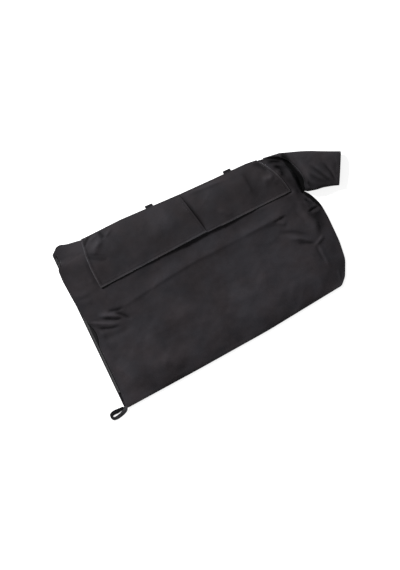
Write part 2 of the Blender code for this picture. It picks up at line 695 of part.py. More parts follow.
def make_slider(frame):
    foot, floor, lower, upper, roof, top = slider_levels()
    side, inner = SLIDER_HALF_WIDTH, SLIDER_HALF_WIDTH - SLIDER_WALL
    start, end = SLIDER_HEAD, SLIDER_HEAD + SLIDER_LENGTH
    upper_half = [(-side, upper), (-inner, upper), (-inner, roof), (inner, roof), (inner, upper),
                  (side, upper), (side, top), (-side, top)]
    lower_half = [(-side, foot), (side, foot), (side, lower), (inner, lower), (inner, floor),
                  (-inner, floor), (-inner, lower), (-side, lower)]
    slider = prism("zip_slider", upper_half, "y", start, end, "metal", frame)
    join(slider, prism("slider_lower_half", lower_half, "y", start, end, "metal", frame))
    wide, tip = WEDGE_WIDTH / 2, WEDGE_TIP_WIDTH / 2
    wedge = [(-wide, start + WEDGE_INSET), (wide, start + WEDGE_INSET), (wide, start + WEDGE_STRAIGHT),
             (tip, start + WEDGE_LENGTH), (-tip, start + WEDGE_LENGTH), (-wide, start + WEDGE_STRAIGHT)]
    post = prism("slider_wedge", wedge, "z", floor - SLIDER_JOINT, roof + SLIDER_JOINT, "metal", frame)
    join(slider, post)
    first = start + BAIL_INSET
    last = first + BAIL_LENGTH
    low, sill = top - SLIDER_JOINT, top + BAIL_WINDOW
    crest = sill + BAIL_BAR
    bail = [(first, low), (first, crest - BAIL_CORNER), (first + BAIL_CORNER, crest),
            (last - BAIL_CORNER, crest), (last, crest - BAIL_CORNER), (last, low), (last - BAIL_BAR, low),
            (last - BAIL_BAR, sill), (first + BAIL_BAR, sill), (first + BAIL_BAR, low)]
    join(slider, prism("slider_bail", bail, "x", -BAIL_WIDTH / 2, BAIL_WIDTH / 2, "metal", frame))
    return slider


def pull_pivot():
    """The pull's pivot in the zip's frame: (down the zip, height)."""
    top = slider_levels()[-1]
    down = SLIDER_HEAD + BAIL_INSET + BAIL_BAR + PULL_ROOM + PULL_THICKNESS / 2
    return down, top + BAIL_WINDOW / 2


def make_pull(frame):
    down, height = pull_pivot()
    hinge = bpy.data.objects.new("pull_hinge", None)
    hinge.parent = frame
    hinge.location = (0.0, down, height)
    bpy.context.scene.collection.objects.link(hinge)
    bar = PULL_THICKNESS / 2
    start, end = -bar, PULL_LENGTH
    wide = PULL_END_WIDTH / 2
    across, back = PULL_CORNER
    outline = [(-PULL_WIDTH / 2, start), (PULL_WIDTH / 2, start), (wide, end - back), (wide - across, end),
               (across - wide, end), (-wide, end - back)]
    pull = prism("zip_pull", outline, "z", -bar, bar, "metal", hinge)
    room = BAIL_WIDTH / 2 + PULL_ROOM
    window_end = BAIL_LENGTH - BAIL_BAR - bar + PULL_WINDOW_ROOM
    low, high = -2 * PULL_THICKNESS, 2 * PULL_THICKNESS
    window = box("pull_window", (-room, bar, low), (room, window_end, high), "metal", hinge)
    join(pull, window, "DIFFERENCE")
    return pull


def main():
    clear_scene()
    make_front_panel()
    make_back_panel()
    make_neck_sleeve()
    make_flaps()
    for name, middle in STRAP_LOOP_X.items():
        make_strap_loop(name, middle)
    make_corner_loop()
    frame = zip_frame()
    make_tapes(frame)
    make_teeth(frame)
    make_stops(frame)
    make_slider(frame)
    make_pull(frame)


main()
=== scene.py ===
"""Looks of the collection bag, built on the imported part, in the part's own frame.

Lengths are metres. Tables of points and folds are millimetres, as in the part.
"""

import math

import bpy
import numpy as np
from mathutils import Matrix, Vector


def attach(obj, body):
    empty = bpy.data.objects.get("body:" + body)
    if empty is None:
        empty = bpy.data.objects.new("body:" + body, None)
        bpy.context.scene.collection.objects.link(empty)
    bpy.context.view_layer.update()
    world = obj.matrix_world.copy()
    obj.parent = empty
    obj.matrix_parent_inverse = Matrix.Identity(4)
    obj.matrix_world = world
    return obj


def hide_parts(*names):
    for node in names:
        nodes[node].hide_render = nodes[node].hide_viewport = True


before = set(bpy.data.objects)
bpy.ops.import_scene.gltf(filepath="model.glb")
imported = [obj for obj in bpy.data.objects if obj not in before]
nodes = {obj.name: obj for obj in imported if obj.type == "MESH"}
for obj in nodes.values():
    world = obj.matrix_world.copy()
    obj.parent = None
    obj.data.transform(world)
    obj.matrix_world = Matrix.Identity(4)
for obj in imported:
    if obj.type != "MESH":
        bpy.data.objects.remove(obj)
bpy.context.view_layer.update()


def from_mm(values):
    """A table in millimetres, as an array in metres."""
    return np.array(values, float) / 1000


# Sizes of the part that the cloth follows
CLOTH = 0.0012
FLAP_CLOTH = 0.0011
SEAM_GAP = 0.0003
FLAP_CLEARANCE = 0.0011
RIM_LIFT = 0.004
RIM_WIDTH = 0.012
CROWN = 0.025
TOP_SLOPE = 0.085
NECK_END_SLOPE = 0.1
ZIP_END_SLOPE = 0.13
ZIP_LIFT_REACH = 0.03
TOP_EDGE = from_mm([
    (-404, 277.5), (-389, 280.4), (-373, 271), (-316, 257), (-185, 250), (-65, 236), (13, 227),
    (130, 216), (243, 206.4), (296, 196),
])
FOOT_EDGE = from_mm([(-464, -268), (-206, -274), (44, -277), (314, -270)])
NECK_END_EDGE = from_mm([
    (314, -270), (336, -252), (364, -204), (376, -146), (383, -60), (383, -17), (376, 10),
    (367, 32), (358, 44),
])
THROAT_EDGE = from_mm([  # the seam, out of sight under the neck's crest
    (368, 56), (377, 70), (381.5, 88), (380.5, 106), (376.5, 124), (370, 142), (362, 162),
    (352, 177), (330, 185), (296, 196),
])
TOP_EDGE_UNDER_NECK = from_mm([(340, 186), (420, 164)])
NECK_END_UNDER_NECK = from_mm([(370, 60), (392, 90), (410, 120), (420, 200)])
THROAT_LIFT = 0.0015
THROAT_LIFT_REACH = 0.02
THROAT_LIFT_ENDS = 0.18
THROAT_GAP = 0.0018
THROAT_END_GAP = 0.0022
SEAM_ALLOWANCE = 0.006
UNDER_THE_CORNER = (0.35, 0.044)
ZIP_EDGE_HEAD = (-0.427, 0.244)
ZIP_EDGE_FOOT = (-0.466, -0.257)
ZIP_CORNER = 0.0155
TAPE = 0.0008
TAPE_HEIGHT = 0.005
TAPE_START, TAPE_END = -0.006, 0.49  # down the zip from its head
ZIP_HEAD_Y = 0.25
SLIDER_HALF_WIDTH = 0.0046
CHAIN_INSET = 0.0065
FRONT_EDGE_REVEAL = 0.0053
FRONT_EDGE_INSET = from_mm([
    (-268, -4), (-247, -3.6), (-230, 0), (-60, 0), (-40, 6.6), (-20, 10.2), (-5, 8), (13, 3),
    (28, -2.5), (40, -5.9), (60, -9), (120, -13.2), (173, -16.3), (206, -15), (215.5, -12),
    (218.5, 0), (262, 0), (277.5, 8.6),
])
LIP_LIFT = 0.0066
LIP_RISE = [(0.004, 0.0), (0.026, 1.0), (0.217, 1.0), (0.234, 0.0)]
NECK_RIDGE = from_mm([
    (348, 185), (359.5, 164), (367.5, 142), (374.5, 124), (379, 105), (380, 87), (376.5, 69),
    (371.5, 53), (369, 38),
])
NECK_STATIONS = from_mm([  # the neck's two sides at each, and its height
    (396, 163, 392, 30, 42.5), (430, 146, 413, 25.5, 40), (465, 125.5, 434, 18.5, 34.5),
    (490, 111, 448, 13, 30), (518.2, 95, 462, 6.6, 26),
])
NECK_RISE = [  # share of the way from the seam to the crest, height, and how far it leans out
    (0.15, 0.012, -0.002), (0.4, 0.02, -0.0042), (0.7, 0.029, -0.0036), (0.92, 0.035, -0.0012),
]
HEM_WIDTH = 0.011
NECK_POINTS = 161  # across it, on each side
LEFT_FLAP = [(-0.322, 0.257), (-0.341, 0.098), (0.032, 0.0855), (0.014, None)]  # heads at both ends
RIGHT_FLAP = [(-0.03, None), (-0.034, 0.085), (0.32, 0.065), (0.278, 0.19)]
FLAPS_FOOT = [(-0.341, 0.098), (0.032, 0.0855), (0.0321, 0.0815), (0.32, 0.065)]
RIGHT_FLAP_BOW = 0.01
LEFT_FLAP_BOW = 0.006
FLAP_HEM = 0.0075
FLAP_STEP_START = -0.09
FLAP_STEP_END = -0.045
STRAP_LOOP_X = {"strap_loop_left": -0.086, "strap_loop_right": 0.18}
STRAP_LOOP_WIDTH = 0.025
CORNER_LOOP_OUTER = from_mm([
    (-455.7, -267.4, 7.8), (-461, -275.2, 6.2), (-468.9, -279.7, 3.4), (-479.3, -282.7, 1.8),
    (-489.6, -284.3, 1.4), (-500.7, -285.5, 1.6), (-512.5, -283.4, 2.2), (-519.4, -276.6, 3.8),
    (-519.4, -267.2, 5.6), (-516.9, -259.7, 7), (-509.4, -255.3, 8), (-498, -254.3, 8.2),
    (-481.8, -256.4, 7.4), (-469.2, -258.2, 5),
])
CORNER_LOOP_INNER = from_mm([
    (-460.7, -260.9, 8.2), (-466.4, -264.5, 8.4), (-473, -267.2, 8.6), (-479.8, -269.1, 8.6),
    (-485.9, -271.7, 8), (-492.7, -272.8, 7), (-499.2, -273.4, 5.8), (-504.8, -273.8, 4.6),
    (-509.6, -273.2, 3.6), (-511.4, -270.8, 2.8), (-507.9, -268.4, 2), (-502.4, -268.3, 1.6),
    (-491.7, -269.8, 1.4), (-476.6, -268, 1.4), (-464.7, -264.1, 1.6),
])
FOLD_DEPTH, FOLD_ENDS = 1.8, 0.36  # times its height, and share of its length at each end
FLATTER_FOOT = 0.085
FRONT_SEED, LEFT_FLAP_SEED, RIGHT_FLAP_SEED, NECK_SEED, BACK_SEED = 11, 23, 57, 41, 71
FRONT_GRID, BACK_GRID = (196, 252), (120, 160)
# Painted light and shade on folds: how much lighter the crests and darker the valleys are painted, by fold
# height
CREST_PAINTED_LIGHT, VALLEY_PAINTED_SHADE, FOLD_SIZE = 0.26, 0.66, 0.003
# Painted light and shade on the front: the lower half and the foot painted lighter, the hollow by the
# throat and the gutter beside the neck painted darker
LOWER_HALF_PAINTED_LIGHT, FOOT_PAINTED_LIGHT, HOLLOW_PAINTED_SHADE, GUTTER_PAINTED_SHADE = 0.26, 0.3, 0.36, 0.97
GUTTER_LEFT = from_mm([
    (354, 186), (350, 170), (349.8, 137), (352, 114), (349.5, 101), (352, 83.5), (349.3, 62),
    (351.5, 49), (356, 30), (360, 20),
])
GUTTER_RIGHT = from_mm([
    (356, 186), (364, 165), (367, 136), (371.7, 114.5), (375.8, 95), (379, 80), (374, 64),
    (368, 49), (379, 34), (390, 30),
])
THROAT_HOLLOW = from_mm([(314, 176), (328, 158), (336, 134), (337, 106), (340, 80)])

# Folds: points, half width on the left and right of the way they run, height, roundness
FRONT_FOLDS = [
    ([(-440, 0), (-310, 14), (-185, 21), (-53, 25), (58, 19), (220, 15)], 24, 7, 1.7, 1.6),
    ([(100, 18), (187, 15), (250, 12), (306, 7)], 24, 8, 2.4, 1.7),
    ([(222, 2), (246, 5), (276, 6)], 4, 7, -1.4, 1.9),
    ([(232, 6), (245, -4), (258, -22)], 8, 6, 1.6, 1.9),
    ([(190, 0), (226, -4), (248, -20), (262, -36)], 5, 10, -0.7, 1.9),
    ([(316, 16), (322, -12), (330, -34), (334, -60), (328, -84), (316, -116)], 12, 34, 3, 1.7),
    ([(332, -14), (344, -36), (351, -60), (345, -84), (338, -110)], 16, 7, -3, 1.7),
    ([(296, 10), (303, -10), (312, -34), (316, -60)], 5, 6, -0.8, 1.8),
    ([(216, -30), (262, -50), (283, -68), (298, -83), (304, -106)], 7, 6, -2, 1.8),
    ([(236, -58), (270, -77), (286, -87), (299, -102), (310, -122)], 10, 6, 2.6, 1.8),
    ([(256, -86), (276, -98), (290, -106), (310, -118)], 5, 6, -1.9, 1.9),
    ([(298, -122), (322, -115), (346, -104)], 5, 6, 2, 1.8),
    ([(352, -28), (362, -66), (358, -104)], 14, 10, -1.2, 2),
    ([(314, -108), (312, -150), (312, -176), (310, -214)], 7, 6, 1.6, 1.8),
    ([(307, -112), (304, -150), (306, -190)], 4, 5, -1.3, 1.8),
    ([(348, 26), (354, 8), (366, -14)], 4, 5, -3, 1.8),
    ([(380, -22), (360, -18), (346, -18), (333, -23)], 5, 4, -3, 1.8),
    ([(376, -34), (356, -29), (344, -28)], 6, 5, 1.6, 1.8),
    ([(359, 22), (367, 2), (374, -12)], 1.8, 1.8, 1.2, 2),
    ([(364, 18), (372, -2), (378, -16)], 1.8, 1.8, 1, 2),
    ([(341, 20), (346, 6), (350, -8)], 3, 3, 1.4, 2),
    ([(-368, 22), (-350, 17), (-328, 9), (-306, 10)], 6, 4, -2.6, 1.8),
    ([(-346, 14), (-330, -5), (-306, -38)], 6, 3.5, -3.8, 1.7),
    ([(-398, 26), (-368, 12), (-350, 1), (-326, -18)], 9, 6, 4, 1.7),
    ([(-396, 16), (-370, -1), (-355, -12), (-324, -20)], 4, 5, -1.7, 1.8),
    ([(-450, 30), (-412, 10), (-385, -7), (-365, -18), (-334, -32)], 4, 11, 3.2, 1.7),
    ([(-424, -6), (-400, -17), (-380, -27), (-342, -38)], 4, 6, -2.2, 1.8),
    ([(-430, 0), (-414, -16), (-406, -46)], 7, 6, 2, 1.8),
    ([(-440, -52), (-390, -50), (-340, -56), (-300, -46)], 12, 10, -1.2, 2),
    ([(-334, 214), (-340, 180), (-343, 150), (-344.5, 120), (-345.5, 88)], 3, 7, -3, 1.7),
    ([(-370, 86), (-200, 78), (0, 71), (200, 62), (340, 44)], 12, 26, -0.8, 1.8),
    ([(-440, 120), (-405, 104), (-372, 104)], 9, 12, 1.2, 2),
    ([(-434, 90), (-404, 84), (-384, 70)], 8, 10, 1, 2),
    ([(327, -220), (321, -262)], 4, 4, 1.2, 1.8),
    ([(345, 156), (350, 138), (351, 112), (350, 86), (347, 52)], 4, 10, 2.2, 1.8),
    ([(304, 180), (324, 168), (346, 156)], 6, 5, -4.6, 2),
    ([(306, 172), (330, 157), (345, 143), (350, 130)], 6, 6, 3, 1.7),
    ([(310, 158), (325, 148), (331, 136), (328, 122), (338, 108)], 6, 6, -4.2, 1.8),
    ([(312, 176), (328, 150), (336, 122), (336, 96)], 20, 18, -1.4, 2),
    ([(318, 146), (320, 134), (318, 118)], 6, 5, 2.4, 1.8),
    ([(326, 95), (322, 60), (330, 20), (327, -20)], 16, 10, 1.6, 2),
    ([(-300, -185), (-262, -214), (-236, -252)], 20, 14, 2, 2),
    ([(-436, -120), (-400, -170), (-392, -240)], 22, 18, 2.2, 2),
    ([(-50, -120), (60, -150), (160, -140)], 30, 24, 1.2, 2),
    ([(-250, -60), (-180, -100), (-80, -110)], 26, 20, 1.2, 2),
]
LEFT_FLAP_FOLDS = [
    ([(-269, 228), (-290, 218), (-312, 210)], 7, 10, 1.6, 2),
    ([(-344, 212), (-324, 196), (-303, 181), (-270, 160)], 10, 10, -2.4, 2),
    ([(-326, 206), (-296, 206), (-274, 224), (-262, 240)], 12, 10, 2.2, 2),
    ([(-328, 230), (-312, 246), (-290, 256)], 4, 3, -4.6, 1.8),
    ([(-262, 256), (-260, 240), (-259, 224)], 6, 5, -4, 2),
    ([(-306, 240), (-286, 247), (-268, 251)], 5, 6, 1.8, 2),
    ([(-254, 226), (-238, 238), (-218, 246)], 5, 6, 1.8, 2),
    ([(-180, 150), (-80, 165), (0, 150)], 30, 24, 1.2, 2),
]
RIGHT_FLAP_FOLDS = [
    ([(256, 200), (272, 190), (286, 171), (290, 148)], 4, 7, -4, 1.8),
    ([(258, 138), (282, 134), (302, 128)], 9, 13, 2.8, 1.8),
    ([(214, 198), (222, 174), (222, 148), (220, 118), (212, 92)], 18, 6, -1.8, 1.8),
    ([(8, 223), (50, 217), (90, 211), (130, 205), (176, 193)], 6, 6, 2.2, 1.8),
    ([(15, 232), (23, 182), (29, 137), (37, 84)], 6, 10, -3.4, 1.8),
    ([(284, 150), (296, 124), (300, 100)], 10, 12, 1.8, 2),
    ([(93, 130), (114, 104), (133, 82)], 10, 8, 1.2, 2),
    ([(180, 190), (215, 150), (230, 110)], 20, 16, 1, 2),
]
NECK_FOLDS = [
    ([(408, 112), (422, 82), (435, 52), (458, 4)], 4, 6, -3, 1.8),
    ([(416, 114), (430, 86), (443, 56), (464, 10)], 7, 5, 2.2, 1.8),
    ([(450, 92), (456, 72), (460, 54), (460, 16)], 3, 5, -2.6, 1.8),
    ([(458, 94), (467, 58), (468, 20)], 6, 4, 1.6, 1.8),
    ([(394, 86), (404, 67), (414, 50), (436, 22)], 5, 7, -2, 1.8),
    ([(402, 88), (419, 60), (440, 32)], 6, 5, 1.6, 1.8),
    ([(376, 68), (386, 48), (394, 30)], 6, 6, -3.2, 1.8),
    ([(371, 64), (378, 36)], 3, 3, 2.6, 1.8),
    ([(384, 136), (394, 100), (402, 62)], 14, 14, 1.4, 2),
    ([(410, 134), (450, 112), (490, 86)], 12, 10, 1.2, 2),
    ([(430, 104), (462, 86), (482, 62)], 8, 6, 1.4, 1.8),
]


# Shape helpers

def ease(value):
    """An S-shaped rise from 0 to 1."""
    value = np.clip(value, 0.0, 1.0)
    return value * value * (3.0 - 2.0 * value)


def rise(distance, over):
    """A rise from 0 that flattens out at 1."""
    share = np.clip(distance / over, 0.0, 1.0)
    return share * (2.0 - share)


def travelled(points):
    """Length of a polyline up to each of its points."""
    steps = np.sqrt((np.diff(points, axis=0) ** 2).sum(axis=1))
    return np.concatenate([[0.0], np.cumsum(steps)])


def sample(points, places, wanted):
    """The wanted places on a polyline whose own points stand at places."""
    return np.column_stack([np.interp(wanted, places, column) for column in points.T])


def across_line(line, shares):
    """Points at shares of a line whose points are evenly spaced."""
    return sample(line, np.linspace(0, 1, len(line)), shares)


def along(points, count):
    """That many points, evenly spaced along a polyline."""
    points = np.array(points, float)
    lengths = travelled(points)
    return sample(points, lengths, np.linspace(0.0, lengths[-1], count))


def left_of(line):
    """Unit steps to the left of a plan line, at each of its points."""
    step = np.gradient(line, axis=0)
    step = step / np.hypot(*step.T)[:, None]
    return np.column_stack([-step[:, 1], step[:, 0]])


def soften(points, count, radius):
    """A polyline with its corners rounded over radius and its ends kept."""
    dense = along(points, 601)
    step = travelled(dense)[-1] / 600
    blur = max(radius / step, 0.5)
    reach = int(3 * blur) + 1
    kernel = np.exp(-0.5 * (np.arange(-reach, reach + 1) / blur) ** 2)
    kernel /= kernel.sum()
    before = 2 * dense[0] - dense[reach:0:-1]
    after = 2 * dense[-1] - dense[-2:-reach - 2:-1]
    padded = np.concatenate([before, dense, after])
    smooth = np.column_stack([np.convolve(column, kernel, "valid") for column in padded.T])
    return along(smooth, count)


def to_path(x, y, path):
    """Distance to a polyline, positive on its left, and how far along it the nearest point lies."""
    best = np.full(np.shape(x), np.inf)
    signed = np.zeros(np.shape(x))
    share = np.zeros(np.shape(x))
    for k, (start, end) in enumerate(zip(path[:-1], path[1:])):
        step = end - start
        at = ((x - start[0]) * step[0] + (y - start[1]) * step[1]) / step.dot(step)
        at = np.clip(at, 0.0, 1.0)
        dx, dy = x - start[0] - at * step[0], y - start[1] - at * step[1]
        distance = np.hypot(dx, dy)
        nearer = distance < best
        best = np.where(nearer, distance, best)
        on_left = step[0] * dy - step[1] * dx >= 0
        signed = np.where(nearer, np.where(on_left, distance, -distance), signed)
        share = np.where(nearer, (k + at) / (len(path) - 1), share)
    return signed, share


def both_ends(share, over):
    """1 in the middle of a line, and 0 at its ends."""
    return ease(share / over) * ease((1 - share) / over)


def relief(x, y, folds):
    """Height that a table of folds adds."""
    total = np.zeros(np.shape(x))
    for points, left, right, height, roundness in folds:
        distance, share = to_path(x, y, soften(from_mm(points), 4 * len(points), 0.006))
        width = from_mm(np.where(distance > 0, left, right))
        fold = np.exp(-(np.abs(distance) / width) ** roundness)
        total = total + from_mm(height) * both_ends(share, FOLD_ENDS) * fold
    return total


def fold_light_and_shade(x, y, folds):
    """Painted light and shade on folds: crests painted lighter, valleys painted darker."""
    ups = relief(x, y, [fold for fold in folds if fold[3] > 0]) / FOLD_SIZE
    downs = -relief(x, y, [fold for fold in folds if fold[3] < 0]) / FOLD_SIZE
    return np.exp(CREST_PAINTED_LIGHT * np.minimum(ups, 1.5) - VALLEY_PAINTED_SHADE * np.minimum(downs, 1.8))


def gutter_shade_mask(x, y, wider, softness):
    """Mask of painted shade: 1 in the deep fold beside the neck, 0 away from it."""
    after_left = to_path(x, y, soften(GUTTER_LEFT, 60, 0.004))[0]
    before_right = -to_path(x, y, soften(GUTTER_RIGHT, 60, 0.004))[0]
    return ease((after_left + 0.0035) / 0.005) * ease((before_right + wider) / softness)


def noise(x, y, seed):
    """Smooth gradient noise, about -0.7 to 0.7, one cell per unit."""
    table = np.random.default_rng(seed).uniform(0.0, 2 * math.pi, (64, 64))
    left, low = np.floor(x).astype(int), np.floor(y).astype(int)
    across, up = x - left, y - low

    def corner(i, j):
        angle = table[(left + i) % 64, (low + j) % 64]
        return np.cos(angle) * (across - i) + np.sin(angle) * (up - j)

    u = across ** 3 * (across * (across * 6 - 15) + 10)
    v = up ** 3 * (up * (up * 6 - 15) + 10)
    foot = corner(0, 0) + u * (corner(1, 0) - corner(0, 0))
    head = corner(0, 1) + u * (corner(1, 1) - corner(0, 1))
    return foot + v * (head - foot)


def crumple(x, y, seed):
    """Soft waves with a few faint creases among them, in metres."""
    shift_x = x + 0.02 * noise(x / 0.11, y / 0.11, seed + 1)
    shift_y = y + 0.02 * noise(x / 0.11, y / 0.11, seed + 2)
    waves = 0.0026 * noise(shift_x / 0.16, shift_y / 0.14, seed + 3)
    waves = waves + 0.0026 * noise(shift_x / 0.062, shift_y / 0.078, seed + 4)
    waves = waves + 0.0009 * noise(shift_x / 0.027, shift_y / 0.024, seed + 7)
    crease = 1 - np.minimum(np.abs(noise(shift_x / 0.12, shift_y / 0.1, seed + 5)) * 6.0, 1.0)
    strength = ease(noise(x / 0.14, y / 0.14, seed + 6) * 3.0)
    return waves + 0.0005 * crease ** 2 * strength


# Edges and heights of the body, as in the part

top_line = soften(TOP_EDGE, 400, 0.006)
foot_line = soften(FOOT_EDGE, 400, 0.01)
end_line = soften(NECK_END_EDGE, 300, 0.008)
throat_path = soften(np.vstack([NECK_END_EDGE[-1], THROAT_EDGE]), 81, 0.005)
top_under_neck = soften(np.vstack([TOP_EDGE[-1], TOP_EDGE_UNDER_NECK]), 40, 0.004)
top_reach = np.concatenate([top_line, top_under_neck[1:]])
end_reach = soften(np.vstack([NECK_END_EDGE[:-1], NECK_END_UNDER_NECK]), 400, 0.008)


def top_y(x):
    return np.interp(x, *top_reach.T)


def foot_y(x):
    return np.interp(x, *foot_line.T)


def neck_end_x(y):
    return np.interp(y, *end_reach.T[::-1])


def zip_edge_x(y):
    (head_x, head_y), (foot_x, low_y) = ZIP_EDGE_HEAD, ZIP_EDGE_FOOT
    return head_x + (y - head_y) * (head_x - foot_x) / (head_y - low_y)


zip_down = np.array(ZIP_EDGE_FOOT) - np.array(ZIP_EDGE_HEAD)
zip_down = zip_down / np.hypot(*zip_down)
zip_out = np.array([zip_down[1], -zip_down[0]])


def chain_x(y):
    return zip_edge_x(y) + CHAIN_INSET / abs(zip_down[1])


inset_line = soften(FRONT_EDGE_INSET, 400, 0.0022)


def front_edge_x(y):
    return chain_x(y) + FRONT_EDGE_REVEAL + np.interp(y, *inset_line.T)


def lip(y):
    """How far the cloth edge stands up beside the zip."""
    return LIP_LIFT * ease(np.interp(y, *zip(*LIP_RISE)))


def gutter(from_throat, share):
    """The front sinks towards the neck, then drops steeply into a fold beside the seam."""
    near = from_throat / (0.4 + 0.6 * ease(share / 0.14) * ease((1 - share) / 0.32))
    return (0.02 * ease(near / 0.014) + 0.66 * ease((near - 0.018) / 0.009)
            + 0.32 * ease((near - 0.026) / 0.044))


def base_height(x, y):
    """Inner face of the front panel without folds."""
    seam = RIM_LIFT + CLOTH + SEAM_GAP
    beside_tape = TAPE_HEIGHT + TAPE / 2 + SEAM_GAP
    from_zip = np.maximum(x - front_edge_x(y), 0.0)
    near_zip = np.exp(-from_zip / ZIP_LIFT_REACH)
    from_throat, share = to_path(x, y, throat_path)
    from_throat = np.abs(from_throat)
    edge = seam + (beside_tape - seam + lip(y)) * near_zip
    lifted = both_ends(share, THROAT_LIFT_ENDS) * np.exp(-from_throat / THROAT_LIFT_REACH)
    edge = edge + THROAT_LIFT * lifted
    loft = rise(top_y(x) - y, TOP_SLOPE) * rise(y - foot_y(x), FLATTER_FOOT)
    loft = loft * rise(neck_end_x(y) - x, NECK_END_SLOPE) * rise(from_zip, ZIP_END_SLOPE)
    loft = loft * gutter(from_throat, share)
    return edge + (CROWN - edge) * loft, loft


def side_x(y, head, foot, bow):
    """X of a flap's outer side, which bows between its head and its foot corner."""
    down = np.clip((head[1] - y) / (head[1] - foot[1]), 0.0, 1.0)
    return head[0] + down * (foot[0] - head[0]) + bow * np.sin(math.pi * down)


def inside_flaps(x, y):
    """Distance inside the outline of both flaps together, negative outside it."""
    left = side_x(y, *LEFT_FLAP[:2], -LEFT_FLAP_BOW)
    right = side_x(y, *RIGHT_FLAP[:1:-1], RIGHT_FLAP_BOW)
    foot = np.interp(x, *zip(*FLAPS_FOOT))
    return np.minimum(np.minimum(x - left, right - x), y - foot)


def front_height(x, y):
    """Inner face of the front panel with its folds, which stop under the flaps."""
    height, loft = base_height(x, y)
    free = 1 - ease((inside_flaps(x, y) + 0.012) / 0.012)
    shape = FOLD_DEPTH * relief(x, y, FRONT_FOLDS) * np.minimum(loft * 4.0 + 0.25, 1.0)
    shape = shape + crumple(x, y, FRONT_SEED) * np.minimum(loft * 3.0 + 0.15, 1.0)
    return height + shape * free


# Objects and materials

def add_object(name, data):
    made = bpy.data.objects.new(name, data)
    bpy.context.scene.collection.objects.link(made)
    return made


def mesh_object(name, points, faces, material):
    mesh = bpy.data.meshes.new(name)
    mesh.from_pydata(points, [], faces)
    mesh.update()
    mesh.shade_smooth()
    mesh.materials.append(material)
    return add_object(name, mesh)


def surface(name, points, material, thick=0.0, side=1.0, wrap=False, flip=False, painted_light_and_wear=None):
    """A surface from a grid of points, with its painted light and shade at each; side 0 thickens it both
    ways.
    """
    rows, columns = points.shape[:2]
    first = np.arange(rows - 1)[:, None] * columns
    column = np.arange(columns if wrap else columns - 1)[None, :]
    after = (column + 1) % columns
    corners = [first + column, first + after, first + columns + after, first + columns + column]
    quads = np.stack(corners, axis=-1).reshape(-1, 4)
    if flip:
        quads = quads[:, ::-1]
    made = mesh_object(name, points.reshape(-1, 3).tolist(), quads.tolist(), material)
    layer = made.data.attributes.new("painted_light_and_wear", "FLOAT", "POINT")
    layer.data.foreach_set("value", np.ones(rows * columns) if painted_light_and_wear is None else painted_light_and_wear.ravel())
    if thick:
        solid = made.modifiers.new("thickness", "SOLIDIFY")
        solid.thickness = thick
        solid.offset = side
        solid.use_rim = True
    return made


class Nodes:
    """The nodes of a material or world, made and joined in short lines."""

    def __init__(self, owner):
        owner.use_nodes = True
        self.owner = owner
        self.tree = owner.node_tree

    def join(self, value, socket):
        """Give a socket its value, or the output that it follows."""
        if isinstance(value, bpy.types.NodeSocket):
            self.tree.links.new(value, socket)
        else:
            socket.default_value = value

    def node(self, kind, inputs=None, **settings):
        node = self.tree.nodes.new(kind)
        for key, value in settings.items():
            setattr(node, key, value)
        for key, value in (inputs or {}).items():
            self.join(value, node.inputs[key])
        return node

    def math(self, operation, *values):
        return self.node("ShaderNodeMath", dict(enumerate(values)), operation=operation).outputs[0]

    def noise(self, vector, scale, detail=2.0, roughness=0.5):
        inputs = {"Scale": scale, "Detail": detail, "Roughness": roughness, "Vector": vector}
        return self.node("ShaderNodeTexNoise", inputs).outputs["Fac"]

    def ramp(self, value, *stops):
        node = self.node("ShaderNodeValToRGB", {"Fac": value})
        for element, (position, colour) in zip(node.color_ramp.elements, stops):
            element.position = position
            element.color = (*colour, 1.0)
        return node.outputs["Color"]

    def bump(self, height, strength, distance):
        return self.node("ShaderNodeBump", {"Strength": strength, "Distance": distance, "Height": height})

    def shade(self, **values):
        """Set the material's own shader; an underscore stands for a space in an input's name."""
        shader = self.tree.nodes["Principled BSDF"]
        for key, value in values.items():
            self.join(value, shader.inputs[key.replace("_", " ")])


